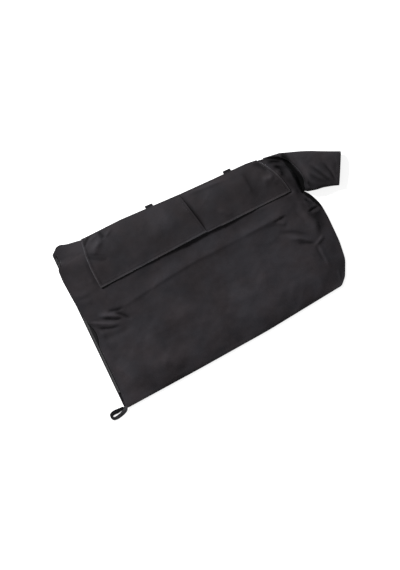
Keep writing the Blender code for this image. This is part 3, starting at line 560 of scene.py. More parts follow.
def woven(name, colour, light, roughness, pitch=0.0009, sheen=0.05, turn=0.0, depth=0.00012,
          takes_painted_light=True):
    """Plain-weave cloth: two crossing sets of threads, dye that varies a little, and soft sheen."""
    build = Nodes(bpy.data.materials.new(name))
    place = build.node("ShaderNodeTexCoord").outputs["Object"]
    turned = build.node("ShaderNodeMapping", {"Rotation": (0.0, 0.0, turn), "Vector": place})
    place = turned.outputs["Vector"]
    split = build.node("ShaderNodeSeparateXYZ", {0: place})
    turns = 2 * math.pi / pitch
    across, down = (build.math("SINE", build.math("MULTIPLY", split.outputs[k], turns)) for k in range(2))
    weave = build.math("MULTIPLY", across, down)
    weave = build.math("ADD", build.math("MULTIPLY", weave, 0.5), 0.5)
    slub = build.noise(place, 900.0)
    cloud = build.noise(place, 13.0, 4.0, 0.6)
    tone = build.math("ADD", build.math("MULTIPLY", weave, 0.25), build.math("MULTIPLY", cloud, 0.75))
    patches = build.noise(place, 16.0, 3.0)
    tint = build.ramp(patches, (0.36, (1.04, 0.98, 1.00)), (0.64, (0.97, 0.99, 1.05)))
    dye_and_painted_light = build.ramp(tone, (0.34, colour), (0.66, light))
    dye_and_painted_light = build.node("ShaderNodeVectorMath", {0: dye_and_painted_light, 1: tint}, operation="MULTIPLY").outputs[0]
    # Painted light and shade: the dye is scaled by the per-point attribute that carries it
    if takes_painted_light:
        painted_light_and_wear = build.node("ShaderNodeAttribute", attribute_name="painted_light_and_wear").outputs["Fac"]
        dye_and_painted_light = build.node("ShaderNodeVectorMath", {0: dye_and_painted_light, "Scale": painted_light_and_wear}, operation="SCALE").outputs[0]
    crinkle = build.bump(build.noise(place, 85.0, 3.0, 0.6), 0.3, 0.001)
    threads = build.bump(build.math("ADD", weave, build.math("MULTIPLY", slub, 0.4)), 0.45, depth)
    build.join(crinkle.outputs["Normal"], threads.inputs["Normal"])
    rough = build.math("ADD", build.math("MULTIPLY", cloud, 0.16), roughness - 0.08)
    build.shade(Base_Color=dye_and_painted_light, Roughness=rough, Normal=threads.outputs["Normal"], Sheen_Weight=sheen,
                Sheen_Roughness=0.45, Sheen_Tint=(0.92, 0.92, 1.0, 1.0), Specular_IOR_Level=0.06)
    return build.owner


def hard(name, colour, light, roughness, metallic):
    """Painted metal or moulded plastic, rubbed lighter and smoother in places."""
    build = Nodes(bpy.data.materials.new(name))
    place = build.node("ShaderNodeTexCoord").outputs["Object"]
    painted_light_and_wear = build.noise(place, 260.0, 5.0, 0.6)
    grain = build.bump(build.noise(place, 2400.0), 0.25, 0.00005)
    rough = build.math("ADD", build.math("MULTIPLY", painted_light_and_wear, 0.25), roughness - 0.12)
    build.shade(Base_Color=build.ramp(painted_light_and_wear, (0.42, colour), (0.75, light)), Roughness=rough,
                Metallic=metallic, Normal=grain.outputs["Normal"])
    return build.owner


# The flap cloth is painted darker and the neck cloth lighter than the bag cloth, as painted shade and
# painted light for how the light falls on them
cloth = woven("black_bag_cloth", (0.0172, 0.0157, 0.0168), (0.0305, 0.0282, 0.0305), 0.74)
flap_cloth = woven("black_flap_cloth", (0.0156, 0.0143, 0.0151), (0.027, 0.0248, 0.0266),
                   0.72, turn=0.03)
neck_cloth = woven("black_neck_cloth", (0.0205, 0.0188, 0.0198), (0.035, 0.0324, 0.0342),
                   0.7, turn=-0.54)
webbing = woven("black_webbing", (0.0095, 0.0095, 0.01), (0.019, 0.019, 0.02),
                0.78, 0.0016, 0.1, 0.0, 0.0003)
tape_cloth = woven("zip_tape_weave", (0.013, 0.0127, 0.0135), (0.022, 0.0215, 0.0225),
                   0.76, 0.0007, 0.12)
inner_tape = woven("zip_tape_inner_weave", (0.011, 0.0106, 0.011), (0.019, 0.0184, 0.019),
                   0.8, 0.0007, 0.0)
thread = woven("black_thread", (0.018, 0.0178, 0.0185), (0.034, 0.0335, 0.035),
               0.62, 0.0005, 0.25, takes_painted_light=False)
# The edge thread is coloured lighter than the stitching thread: a painted highlight along the whipped flap
# edges and seam rolls
edge_thread = woven("black_edge_thread", (0.038, 0.037, 0.038), (0.056, 0.0545, 0.056),
                    0.6, 0.0006, 0.25, takes_painted_light=False)
teeth_plastic = hard("black_zip_plastic", (0.028, 0.028, 0.029), (0.055, 0.055, 0.057), 0.42, 0.0)
slider_metal = hard("black_zip_metal", (0.02, 0.02, 0.021), (0.09, 0.09, 0.093), 0.36, 0.85)

stitches = []


def stitch(name, line, normals, pitch=0.0036, length=0.0027, radius=0.0003):
    """A row of thread stitches that lie on a surface along a 3-D line."""
    line = np.array(line, float)
    lengths = travelled(line)
    points, faces = [], []
    for k in range(int(lengths[-1] / pitch)):
        start = k * pitch + 0.0004
        a, b = sample(line, lengths, [start, start + length])
        up = sample(normals, lengths, [start])[0]
        up = up / np.linalg.norm(up)
        way = (b - a) / np.linalg.norm(b - a)
        side = np.cross(way, up)
        base = len(points)
        for share, size, lift in ((0.0, 0.35, -0.3), (0.25, 1.0, 0.5), (0.75, 1.0, 0.5), (1.0, 0.35, -0.3)):
            middle = a + (b - a) * share + up * radius * lift
            for turn in range(6):
                angle = math.pi * turn / 3
                points.append(middle + size * radius * (side * math.cos(angle) + up * math.sin(angle)))
        for low in (base, base + 6, base + 12):
            high = low + 6
            faces += [(low + k, low + (k + 1) % 6, high + (k + 1) % 6, high + k) for k in range(6)]
        faces.append(tuple(range(base + 5, base - 1, -1)))
        faces.append(tuple(range(base + 18, base + 24)))
    stitches.append(mesh_object(name, [tuple(point) for point in points], faces, thread))


# Front panel

def spread(count, share):
    """Shares from 0 to 1 that lie closer together near both ends."""
    even = np.linspace(0, 1, count)
    return (1 - share) * even + share * (0.5 - 0.5 * np.cos(math.pi * even))


def body_plan(left, rows, across):
    """Points over the body's plan between its four edges."""
    corner = (end_line[-1, 1] - end_line[0, 1]) / (throat_path[-1, 1] - end_line[0, 1])
    below_y = end_line[0, 1] + np.minimum(rows / corner, 1.0) * (end_line[-1, 1] - end_line[0, 1])
    below = np.column_stack([np.interp(below_y, *end_line.T[::-1]), below_y])
    up = np.clip((rows - corner) / (1 - corner), 0.0, 1.0) * (len(throat_path) - 1)
    above = sample(throat_path, np.arange(len(throat_path)), up)
    right = np.where((rows > corner)[:, None], above, below)
    foot, top = across_line(foot_line, across), across_line(top_line, across)
    u, v = across[None, :, None], rows[:, None, None]
    plan = (1 - v) * foot[None] + v * top[None] + (1 - u) * left[:, None] + u * right[:, None]
    plan = plan - (1 - u) * (1 - v) * foot[0] - u * (1 - v) * foot[-1]
    return plan - (1 - u) * v * top[0] - u * v * top[-1]


bottom, head = FOOT_EDGE[0][1], TOP_EDGE[0][1]
rows = spread(FRONT_GRID[0], 0.25)
left_y = bottom + rows * (head - bottom)
left = np.column_stack([front_edge_x(left_y), left_y])
left[0], left[-1] = FOOT_EDGE[0], TOP_EDGE[0]
plan = body_plan(left, rows, spread(FRONT_GRID[1], 0.35))
x, y = plan[..., 0], plan[..., 1]
# Painted light and shade in the front cloth's colour: fold crests lighter, valleys darker, the lower half
# and the foot lighter where they slope away from the light, and the hollow by the throat and the deep
# gutter beside the neck darker where shade falls
painted_light_and_wear = fold_light_and_shade(x, y, FRONT_FOLDS)
painted_light_and_wear *= 1 + LOWER_HALF_PAINTED_LIGHT * ease((0.02 - y) / 0.2)
painted_light_and_wear *= 1 + FOOT_PAINTED_LIGHT * (1 - ease((y - foot_y(x)) / 0.055))
from_hollow = np.abs(to_path(x, y, THROAT_HOLLOW)[0])
painted_light_and_wear *= 1 - HOLLOW_PAINTED_SHADE * (1 - ease((from_hollow - 0.006) / 0.016))
painted_light_and_wear *= 1 - GUTTER_PAINTED_SHADE * gutter_shade_mask(x, y, 0.004, 0.007)
front = surface("front_cloth", np.dstack([plan, front_height(x, y)]), cloth, CLOTH, painted_light_and_wear=painted_light_and_wear)

# Back panel


def back_height(x, y):
    """Outer face of the back panel, which turns up at its sewn rim."""
    nearest = np.minimum(top_y(x) - y, y - foot_y(x))
    nearest = np.minimum(nearest, neck_end_x(y) - x)
    turned = 1 - ease(nearest / RIM_WIDTH)
    beside_zip = ease((x - zip_edge_x(y) - 0.02) / 0.02)
    return RIM_LIFT * turned * beside_zip


rows = spread(BACK_GRID[0], 0.45)
left_y = bottom + rows * (head - bottom)
turn_y = head - ZIP_CORNER
left_x = [zip_edge_x(bottom), zip_edge_x(turn_y), TOP_EDGE[0][0]]
left = np.column_stack([np.interp(left_y, [bottom, turn_y, head], left_x), left_y])
left[0] = FOOT_EDGE[0]
plan = body_plan(left, rows, spread(BACK_GRID[1], 0.45))
x, y = plan[..., 0], plan[..., 1]
ripple = 0.00032 * (noise(x / 0.05, y / 0.06, BACK_SEED) + 0.7)
from_rim = np.minimum(np.minimum(top_y(x) - y, y - foot_y(x)), x - zip_edge_x(y) - 0.03)
height = back_height(x, y) + ripple * ease(from_rim / 0.02)
back = surface("back_cloth", np.dstack([plan, height]), cloth, CLOTH)

# Neck sleeve

SIDES = 160  # points round it
half = SIDES // 2
turns = math.pi * np.arange(SIDES) / half
shares = (1 - np.cos(turns)) / 2
lifts = np.sin(turns)
upper = lifts >= -1e-9  # with the two points at its sides

seam = throat_path[::-1]
seam = seam + left_of(seam) * THROAT_GAP
from_ends = np.minimum(np.hypot(*(seam - seam[0]).T), np.hypot(*(seam - seam[-1]).T))
seam = along(seam[from_ends > THROAT_END_GAP], NECK_POINTS)
stations = [(along([row[:2], row[2:4]], NECK_POINTS), row[4]) for row in NECK_STATIONS]
ridge = soften(NECK_RIDGE, NECK_POINTS, 0.006)
axis = np.array([0.87, -0.49])
lean = np.outer(np.sin(math.pi * np.linspace(0, 1, NECK_POINTS)) ** 0.6, axis)
inward = -left_of(seam)
ends = np.linspace(0, 1, len(seam))[:, None] ** 24
under = seam + inward * SEAM_ALLOWANCE
under = under + ends * (np.array(UNDER_THE_CORNER) - under)
keys = [(under, "inside"), (seam + inward * 0.001, "inside"), (seam, "seam")]
for place, height, out in NECK_RISE:
    keys.append((seam + place * (ridge - seam) + lean * out, height))
keys.append((ridge + lean * 0.0035, 0.0385))
keys.append(((ridge + stations[0][0]) / 2 + lean * 0.003, 0.0405))
keys += stations

rings = []
for line, height in keys:
    at = across_line(line, shares)
    floor = back_height(*at.T) + 2 * CLOTH + SEAM_GAP if height == "inside" else CLOTH
    power = np.where(upper, 0.75, 0.55)
    if height in ("inside", "seam"):
        height = base_height(*at.T)[0] - floor - SEAM_GAP
        power = 0.3
    z = floor + height / 2 * (1 + np.sign(lifts) * np.abs(lifts) ** power)
    rings.append(np.column_stack([at, z]))
rings = np.array(rings)
gaps = np.sqrt((np.diff(rings[:, :half], axis=0) ** 2).sum(axis=2)).mean(axis=1)
knots = np.concatenate([[0.0], np.cumsum(gaps ** 0.8)])
knots /= knots[-1]


def spline(values, at, knots):
    """Smooth curve through values at knots, without overshoot at uneven spacing."""
    slopes = np.zeros_like(values)
    steps = np.diff(knots)[:, None, None]
    rates = np.diff(values, axis=0) / steps
    weight = steps[1:] / (steps[1:] + steps[:-1])
    slopes[1:-1] = rates[:-1] * weight + rates[1:] * (1 - weight)
    slopes[0], slopes[-1] = rates[0], rates[-1]
    result = []
    for value in at:
        k = min(int(np.searchsorted(knots, value, side="right")) - 1, len(knots) - 2)
        width = knots[k + 1] - knots[k]
        t = (value - knots[k]) / width
        start = (2 * t ** 3 - 3 * t ** 2 + 1) * values[k] + (t ** 3 - 2 * t ** 2 + t) * width * slopes[k]
        end = (3 * t ** 2 - 2 * t ** 3) * values[k + 1] + (t ** 3 - t ** 2) * width * slopes[k + 1]
        result.append(start + end)
    return np.array(result)


sleeve = spline(rings, np.linspace(0, 1, 84), knots)
x, y = sleeve[..., 0], sleeve[..., 1]
lift = np.where(upper, np.abs(lifts), 0.0)[None, :]
shape = relief(x, y, NECK_FOLDS) * np.minimum(lift * 1.6, 1.0)
shape = shape + 0.9 * crumple(x * 1.4, y * 1.4, NECK_SEED) * np.minimum(lift * 2.0, 1.0)
sleeve[..., 2] += shape * ease((x - 0.372) / 0.012)
mouth = stations[-1][0].mean(axis=0)
way = mouth - stations[-2][0].mean(axis=0)
way = way / np.hypot(*way)
from_mouth = (mouth - sleeve[..., :2]) @ way
hem = ease((HEM_WIDTH + 0.0006 - from_mouth) / 0.0012)
groove = np.exp(-((from_mouth - HEM_WIDTH) / 0.0009) ** 2)
normal_z = np.sign(lifts) * np.abs(lifts) ** 0.4
swell = 0.0006 * hem - 0.0007 * groove
sleeve[..., 2] = np.maximum(sleeve[..., 2] + swell * normal_z[None, :], CLOTH * 0.9)
last = sleeve[-1]
inner = []
centre = last.mean(axis=0)
for back_step, shrink in from_mm([(-0.4, 0.6), (-0.4, 1.4), (0.6, 2.0), (5.0, 2.1), (11.0, 2.1)]):
    ring = last.copy()
    away = ring - centre
    size = np.sqrt((away[:, :2] ** 2).sum(axis=1))
    side = np.abs(np.cos(turns)) ** 2
    ring[:, :2] -= away[:, :2] / np.maximum(size, 1e-6)[:, None] * (shrink * side)[:, None]
    ring[:, 2] -= np.sign(lifts) * np.minimum(np.abs(lifts) * 3, 1.0) * shrink
    ring[:, :2] -= way * back_step
    inner.append(ring)
sleeve_rings = np.concatenate([sleeve, inner])
x, y = sleeve_rings[..., 0], sleeve_rings[..., 1]
above = np.where(upper, 1.0, 0.0)[None, :]
# Painted light and shade on the neck's upper side: fold crests lighter, valleys darker, and the deep gutter
# beside the body painted nearly black
painted_light_and_wear = 1 + above * (fold_light_and_shade(x, y, NECK_FOLDS) - 1.0)
painted_light_and_wear *= 1 - GUTTER_PAINTED_SHADE * above * gutter_shade_mask(x, y, 0.009, 0.014)
neck = surface("neck_cloth", sleeve_rings, neck_cloth, CLOTH * 0.9, wrap=True, painted_light_and_wear=painted_light_and_wear)

# Flaps


def flap_height(x, y, under):
    """Inner face of a flap, clear of the front panel and of what lies under it."""
    held = np.minimum(y, top_y(x))
    height = base_height(x, held)[0]
    step = 0.0008
    slope_x = (base_height(x + step, held)[0] - base_height(x - step, held)[0]) / (2 * step)
    slope_y = (height - base_height(x, held - 2 * step)[0]) / (2 * step)
    steep = np.sqrt(1 + np.minimum(slope_x ** 2, 1.0) + np.minimum(slope_y ** 2, 1.0))
    return height + (CLOTH + FLAP_CLEARANCE + under) * steep


def make_flap(name, corners, bows, columns, folds, seed, on_top):
    """A flap rolled over the top edge; the one on top lies on the other, with both sides free."""
    (head_a, _), (ax, ay), (bx, by), (head_b, _) = corners
    depth = np.concatenate([np.linspace(0.0, 0.06, 8)[:-1], np.linspace(0.06, 1.0, 64)])
    across = spread(columns, 0.3)
    foot = np.column_stack([ax + across * (bx - ax), ay + across * (by - ay)])
    head_x = head_a + across * (head_b - head_a)
    top = np.column_stack([head_x, top_y(head_x) + 0.0004])
    v = depth[:, None, None]
    plan = top[None] + v * (foot - top)[None]
    plan[..., 0] += bows[1] * np.sin(math.pi * v[..., 0]) * across[None] ** 3
    plan[..., 0] -= bows[0] * np.sin(math.pi * v[..., 0]) * (1 - across[None]) ** 3
    x, y = plan[..., 0], plan[..., 1]
    plan[..., 1] += 0.001 * noise(x / 0.07, y * 0.0, seed + 9) * depth[:, None] ** 2
    under = 0.0
    if on_top:
        step_up = ease((x - FLAP_STEP_START) / (FLAP_STEP_END - FLAP_STEP_START))
        under = step_up * (FLAP_CLOTH + FLAP_CLEARANCE + 0.0008)
    from_foot = np.abs(to_path(x, y, np.array([(ax, ay), (bx, by)]))[0])
    from_side = np.abs(x - plan[:, -1:, 0])
    if on_top:
        from_side = np.minimum(from_side, np.abs(x - plan[:, :1, 0]))
    from_edge = np.minimum(from_foot, from_side)
    curl = 0.0011 * (1 - ease(from_edge / 0.016)) * ease(depth[:, None] / 0.25)
    hem_band = ease((FLAP_HEM + 0.001 - from_edge) / 0.0012)
    groove = np.exp(-((from_edge - FLAP_HEM) / 0.0009) ** 2)
    shape = FOLD_DEPTH * relief(x, y, folds) + 0.8 * crumple(x, y, seed)
    settled = np.minimum(depth[:, None] * 8.0, 1.0)
    z = flap_height(x, y, under) + np.maximum(shape * settled, -0.0018)
    z = z + 0.0006 + curl + 0.0005 * hem_band - 0.0004 * groove
    points = np.dstack([plan, z])
    on_loops = np.zeros(columns)
    for middle in STRAP_LOOP_X.values():
        beside = STRAP_LOOP_WIDTH / 2 + 0.008 - np.abs(points[0, :, 0] - middle)
        on_loops = np.maximum(on_loops, ease(beside / 0.006))
    lowest = 0.0074 * on_loops + 0.0034 * (1 - on_loops)
    radius = 0.0018
    roll = []
    for turn, drop in ((110, 0.0026), (90, 0.0012), (90, 0.0), (68, 0.0), (45, 0.0), (22, 0.0)):
        ring = points[0].copy()
        ring[:, 1] += radius * math.sin(math.radians(turn))
        ring[:, 2] -= radius * (1 - math.cos(math.radians(turn))) + drop
        ring[:, 2] = np.maximum(ring[:, 2], lowest + 0.00002 * (110 - turn))
        roll.append(ring)
    # Painted highlight along the hem at the flap's free sides and foot, and painted shade in the groove
    # inside the hem
    side_rim_highlight = 0.35 * (1 - on_top * (across > 0.5))
    side_rim_highlight = side_rim_highlight * (1 - ease((from_side - 0.003) / 0.0014))
    foot_rim_highlight = 0.95 * (1 - ease((from_foot - 0.0034) / 0.0016))
    hem = 1 + np.maximum(side_rim_highlight, foot_rim_highlight) * ease(depth[:, None] / 0.1)
    painted_light_and_wear = fold_light_and_shade(x, y, folds) * hem * (1 - 0.3 * np.exp(-((from_edge - 0.0068) / 0.0018) ** 2))
    painted_light_and_wear = np.concatenate([np.ones((len(roll), columns)), painted_light_and_wear])
    grid = np.concatenate([roll, points])
    return surface(name, grid, flap_cloth, FLAP_CLOTH, flip=True, painted_light_and_wear=painted_light_and_wear), points


left_flap, left_points = make_flap("left_flap_cloth", LEFT_FLAP, (LEFT_FLAP_BOW, 0.0), 190,
                                   LEFT_FLAP_FOLDS, LEFT_FLAP_SEED, True)
right_flap, right_points = make_flap("right_flap_cloth", RIGHT_FLAP, (0.0, RIGHT_FLAP_BOW), 180,
                                     RIGHT_FLAP_FOLDS, RIGHT_FLAP_SEED, False)

# Webbing


def make_strap_loop(name, middle):
    """A folded tab of ribbed webbing that stands out of the top edge."""
    ends = [middle - STRAP_LOOP_WIDTH / 2, middle + STRAP_LOOP_WIDTH / 2]
    slope = (top_y(ends[1]) - top_y(ends[0])) / STRAP_LOOP_WIDTH
    thick, reach, height = 0.0011, 0.0115, 0.0068
    radius = height / 2 - thick / 2
    low = 0.0002 + thick / 2
    turn_y = reach - radius - thick / 2
    profile = [(0.0003 + (turn_y - 0.0003) * k / 6, low) for k in range(6)]
    profile += [(turn_y + radius * math.cos(a), low + radius + radius * math.sin(a))
                for a in np.linspace(-math.pi / 2, math.pi / 2, 19)]
    profile += [(turn_y - (turn_y - 0.0003) * k / 6, low + 2 * radius) for k in range(1, 7)]
    profile = along(profile, 64)
    side = -left_of(profile)
    row, column = np.arange(len(profile))[:, None], np.arange(46)
    across = column / 45
    rib = 0.00012 * np.cos(2 * math.pi * across * 15)
    rib = rib + 0.00008 * np.cos(2 * math.pi * row / 4 + math.pi * (column % 2))
    rib -= 0.0003 * np.maximum(np.abs(across - 0.5) - 0.47, 0.0) / 0.03
    x = ends[0] + across * STRAP_LOOP_WIDTH
    edge = top_y(middle) + slope * (x - middle) + 0.0004
    y = edge + profile[:, :1] + side[:, :1] * rib
    z = profile[:, 1:] + side[:, 1:] * rib
    points = np.dstack(np.broadcast_arrays(x, y, z))
    return surface(name, points, webbing, thick * 0.85, 0.0, flip=True)


def make_corner_loop():
    """A ribbed band that leaves the foot corner, turns round and comes back under itself."""
    rows, columns = 170, 16
    outer = soften(CORNER_LOOP_OUTER, rows, 0.0022)
    inner = soften(CORNER_LOOP_INNER, rows, 0.0016)
    across = np.linspace(0, 1, columns)
    rib = 0.00022 * np.sin(2 * math.pi * np.arange(rows) / 4.4)
    points = outer[:, None] + (inner - outer)[:, None] * across[:, None]
    points[..., 2] += np.outer(rib, 1 - (2 * np.abs(across - 0.5)) ** 6)
    points[..., 2] += 0.0005 * np.sin(math.pi * across)
    # Painted light and shade: the first run of the band, which faces up, painted lighter than the return
    # that faces away from the light
    turned = ease((np.arange(rows) - 62) / 16)
    painted_light_and_wear = np.repeat((4.9 - 3.5 * turned)[:, None], columns, axis=1)
    return surface("corner_loop_webbing", points, webbing, 0.001, 0.0, painted_light_and_wear=painted_light_and_wear)


strap_loops = {name: make_strap_loop(name + "_webbing", middle)
               for name, middle in STRAP_LOOP_X.items()}
corner_loop = make_corner_loop()

# Zip: woven tapes, and the part's own teeth, stops, slider and pull with worn finishes


def make_tape(name, profile, material):
    """A woven zip tape with a profile across it, given as outward distance and height."""
    profile = along(profile, 30)
    down = np.linspace(TAPE_START, TAPE_END, 260)[:, None]
    head_point = np.array([chain_x(ZIP_HEAD_Y), ZIP_HEAD_Y])
    plan = head_point + zip_out * profile[:, :1] + (zip_down * down)[:, None]
    ripple = 0.00006 * np.sin(math.pi * np.arange(len(down)) / 2)
    ripple = np.outer(ripple, np.where(np.arange(len(profile)) % 2, 1, -1))
    points = np.dstack([plan, profile[:, 1] + ripple])
    below_chain = np.repeat(ease((down - 0.456) / 0.008), len(profile), axis=1)
    # Painted light: the tape below the chain painted lighter
    painted_light_and_wear = 1 + 1.2 * below_chain
    if material is inner_tape:  # in the shadow of the cloth edge
        from_cloth = front_edge_x(points[..., 1]) - points[..., 0]
        painted_light_and_wear *= 0.06 + 0.94 * np.maximum(ease((from_cloth - 0.0024) / 0.0016), below_chain)
    return surface(name, points, material, TAPE * 0.75, 0.0, painted_light_and_wear=painted_light_and_wear)


beside_teeth = 0.0029
tape_front = make_tape("zip_tape_front_weave",
                       [(-beside_teeth - 0.014, TAPE_HEIGHT), (-beside_teeth, TAPE_HEIGHT)], inner_tape)
fold = SLIDER_HALF_WIDTH + 0.001 + TAPE / 2
tape_back = make_tape("zip_tape_back_weave",
                      [(beside_teeth, TAPE_HEIGHT), (fold - 0.0004, TAPE_HEIGHT),
                       (fold, TAPE_HEIGHT - 0.0005), (fold, 0.0017)], tape_cloth)

for name, finish, width in (
        ("teeth_front", teeth_plastic, 0.00018), ("teeth_back", teeth_plastic, 0.00018),
        ("top_stop_front", teeth_plastic, 0.0003), ("top_stop_back", teeth_plastic, 0.0003),
        ("bottom_stop", teeth_plastic, 0.0003), ("slider", slider_metal, 0.00025),
        ("pull", slider_metal, 0.00022)):
    part = nodes["zip_" + name]
    part.data.materials.clear()
    part.data.materials.append(finish)
    bevel = part.modifiers.new("worn_edges", "BEVEL")
    bevel.width = width
    bevel.segments = 2
    bevel.limit_method = "ANGLE"
    bevel.angle_limit = math.radians(40)

# Thread

BEAD_STEP = 0.0008
SEAM_ROLL_HEIGHT = 0.0054


def on_grid(points, rows_at, columns_at):
    """Points and normals of a grid surface at fractional rows and columns."""
    i = np.clip(rows_at.astype(int), 0, points.shape[0] - 2)
    j = np.clip(columns_at.astype(int), 0, points.shape[1] - 2)
    a, b = (rows_at - i)[:, None], (columns_at - j)[:, None]
    here, right, down, far = points[i, j], points[i, j + 1], points[i + 1, j], points[i + 1, j + 1]
    at = here * (1 - a) * (1 - b) + down * a * (1 - b) + right * (1 - a) * b + far * a * b
    normal = np.cross(right - here, down - here)
    normal = np.where(normal[:, 2:] < 0, -normal, normal)
    return at, normal / np.linalg.norm(normal, axis=1)[:, None]


def bead(name, line, radius, pitch=0.0016, outside=0.0004):
    """A whipped edge: a thin roll of thread along a 3-D line."""
    line = line + np.column_stack([-left_of(line[:, :2]), np.zeros(len(line))]) * outside
    line = along(line, int(travelled(line)[-1] / BEAD_STEP))
    way = np.gradient(line, axis=0)
    way /= np.linalg.norm(way, axis=1)[:, None]
    side = np.cross(way, (0.0, 0.0, 1.0))
    side /= np.linalg.norm(side, axis=1)[:, None]
    up = np.cross(side, way)
    place = np.arange(len(line)) * BEAD_STEP
    points = []
    for turn in range(7):
        angle = 2 * math.pi * turn / 7
        size = radius * (1 + 0.16 * np.sin(2 * math.pi * place / pitch + angle))
        points.append(line + (side * math.cos(angle) + up * math.sin(angle)) * size[:, None])
    stitches.append(surface(name, np.array(points).transpose(1, 0, 2), edge_thread, wrap=True))


def flap_thread(name, points, sides):
    """Stitch rows along the hem of a flap's foot and its free sides."""
    rows, columns = points.shape[:2]
    for label in sides:
        if label == "foot":
            span = np.linalg.norm(points[-1, :, :2] - points[-9, :, :2], axis=1).mean() / 8
            rows_at = np.full(160, rows - 1 - FLAP_HEM / span)
            columns_at = np.linspace(2.5, columns - 3.5, 160)
        else:
            edge, inner = (0, 1) if label == "left" else (-1, -2)
            steps = FLAP_HEM / np.abs(points[:, edge, 0] - points[:, inner, 0]).mean()
            rows_at = np.linspace(3.0, rows - 4.0, 90)
            columns_at = np.full(90, steps if label == "left" else columns - 1 - steps)
        at, normal = on_grid(points, rows_at, columns_at)
        stitch(f"{name}_{label}", at + normal * (FLAP_CLOTH + 0.00015), normal)


def front_thread(name, x, y, lift):
    """A stitch row on the front panel along a plan line."""
    step = 0.001
    slope_x = (front_height(x + step, y) - front_height(x - step, y)) / (2 * step)
    slope_y = (front_height(x, y + step) - front_height(x, y - step)) / (2 * step)
    line = np.column_stack([x, y, front_height(x, y) + CLOTH + lift])
    stitch(name, line, np.column_stack([-slope_x, -slope_y, np.ones(len(x))]))


# Whipped edges and seam rolls in the lighter edge thread, whose colour is a painted highlight
for label, edges in (("left_flap_edge", (left_points[6:-1, 0], left_points[-1, 1:])),
                     ("right_flap_edge", (right_points[-1, 62:-1], right_points[:5:-1, -1]))):
    bead(label, np.concatenate(edges) + (0.0, 0.0, 0.0009), 0.001)
x = np.linspace(-0.4635, 0.313, 400)
bead("foot_seam_roll", np.column_stack([x, foot_y(x) - 0.0003, np.full(400, SEAM_ROLL_HEIGHT)]), 0.0008)
heights = np.full(len(end_line), SEAM_ROLL_HEIGHT)
bead("neck_end_seam_roll", np.column_stack([end_line + (0.0003, 0.0), heights]), 0.0008)

flap_thread("left_flap_thread", left_points, ("foot", "left", "right"))
flap_thread("right_flap_thread", right_points, ("foot", "right"))

y = np.linspace(-0.262, 0.268, 200)
front_thread("zip_side_thread", front_edge_x(y) + 0.004, y, 0.00015)
x = np.linspace(-0.398, -0.33, 40)
front_thread("top_left_thread", x, top_y(x) - 0.005, 0.0001)
x = np.linspace(-0.455, 0.308, 300)
front_thread("foot_thread", x, foot_y(x) + 0.0055, 0.0001)
ring = sleeve[np.argmin(np.abs(from_mouth.mean(axis=1) - (HEM_WIDTH - 0.001)))]
outward = (ring - ring.mean(axis=0)) * (0.05, 0.05, 6.0)
outward /= np.linalg.norm(outward, axis=1)[:, None]
stitch("neck_hem_thread", ring[:half + 1] + outward[:half + 1] * (CLOTH * 0.9 + 0.0001), outward[:half + 1])

# Riding and stand-ins

for piece, node, slot in (
        (front, "front_panel", "cloth"), (back, "back_panel", "cloth"), (neck, "neck_sleeve", "cloth"),
        (left_flap, "left_flap", "cloth"), (right_flap, "right_flap", "cloth"),
        (corner_loop, "corner_loop", "webbing"), (tape_front, "zip_tape_front", "zip_tape"),
        (tape_back, "zip_tape_back", "zip_tape"),
        (strap_loops["strap_loop_left"], "strap_loop_left", "webbing"),
        (strap_loops["strap_loop_right"], "strap_loop_right", "webbing")):
    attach(piece, "bag")
    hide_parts(node)
for piece in stitches:
    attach(piece, "bag")

# Floor, light and camera

PHOTO_TURN = 29.86  # degrees from the part's X to the photo's
PHOTO_HEIGHT = 570 * 0.003125  # pixels, and metres to a pixel
LENS, SENSOR = 100.0, 36.0
WHITE = (1.0, 1.0, 1.0, 1.0)


def seen_directly(build):
    """1 for what the camera sees, also in shiny or clear surfaces, and 0 for light."""
    rays = build.node("ShaderNodeLightPath").outputs
    seen = build.math("MAXIMUM", rays["Is Camera Ray"], rays["Is Glossy Ray"])
    return build.math("MAXIMUM", seen, rays["Is Transmission Ray"])


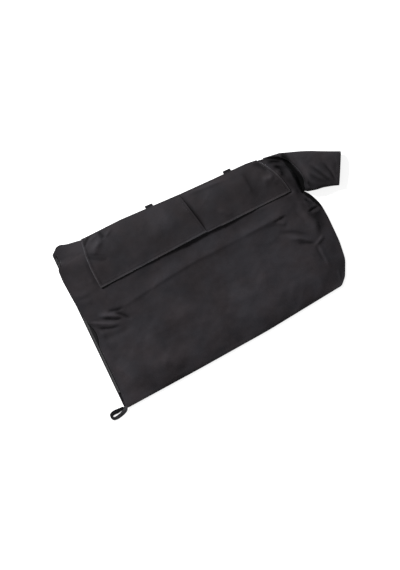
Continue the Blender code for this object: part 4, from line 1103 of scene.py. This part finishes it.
def stage_floor():
    """A white floor just under the bag, which looks bright but throws little light back."""
    build = Nodes(bpy.data.materials.new("white_floor"))
    build.tree.nodes.clear()
    strength = build.math("MULTIPLY", seen_directly(build), 0.82)
    paint = build.node("ShaderNodeBsdfDiffuse", {"Color": (0.8, 0.8, 0.8, 1.0)})
    glow = build.node("ShaderNodeEmission", {"Color": WHITE, "Strength": strength})
    both = build.node("ShaderNodeAddShader", {0: paint.outputs[0], 1: glow.outputs[0]})
    build.node("ShaderNodeOutputMaterial", {"Surface": both.outputs[0]})
    corners = [(x, y, -0.0003) for x, y in ((-6.0, -6.0), (6.0, -6.0), (6.0, 6.0), (-6.0, 6.0))]
    mesh_object("floor", corners, [(0, 1, 2, 3)], build.owner)


def light_world():
    """White all round as the camera sees it, and dim as a light."""
    world = bpy.data.worlds.new("white_room")
    bpy.context.scene.world = world
    build = Nodes(world)
    seen = {"Value": seen_directly(build), "To Min": 0.17, "To Max": 1.0}
    strength = build.node("ShaderNodeMapRange", seen).outputs["Result"]
    background = build.tree.nodes["Background"]
    build.join(WHITE, background.inputs["Color"])
    build.join(strength, background.inputs["Strength"])


def area_light(name, way, elevation, distance, size, power):
    """A soft light in a direction over the bag; way is in degrees in the image, 90 its top."""
    turn = math.radians(way - PHOTO_TURN)
    high = math.radians(elevation)
    at = Vector((math.cos(turn) * math.cos(high), math.sin(turn) * math.cos(high), math.sin(high)))
    at = at * distance
    data = bpy.data.lights.new(name, "AREA")
    data.shape = "DISK"
    data.size = size
    data.energy = power
    made = add_object(name, data)
    made.location = at
    made.rotation_euler = (-at).to_track_quat("-Z", "Y").to_euler()


stage_floor()
light_world()
area_light("key", 142.0, 34.0, 5.0, 1.2, 362.0)

camera_data = bpy.data.cameras.new("camera")
camera_data.lens = LENS
camera_data.sensor_width = SENSOR
camera_data.clip_end = 50.0
camera = add_object("camera", camera_data)
camera.location = (-0.0699, -0.0486, 0.015 + PHOTO_HEIGHT / 2 / (SENSOR / 2 / LENS))
camera.rotation_euler = (0.0, 0.0, math.radians(-PHOTO_TURN))
bpy.context.scene.camera = camera
bpy.context.scene.view_settings.view_transform = "Standard"
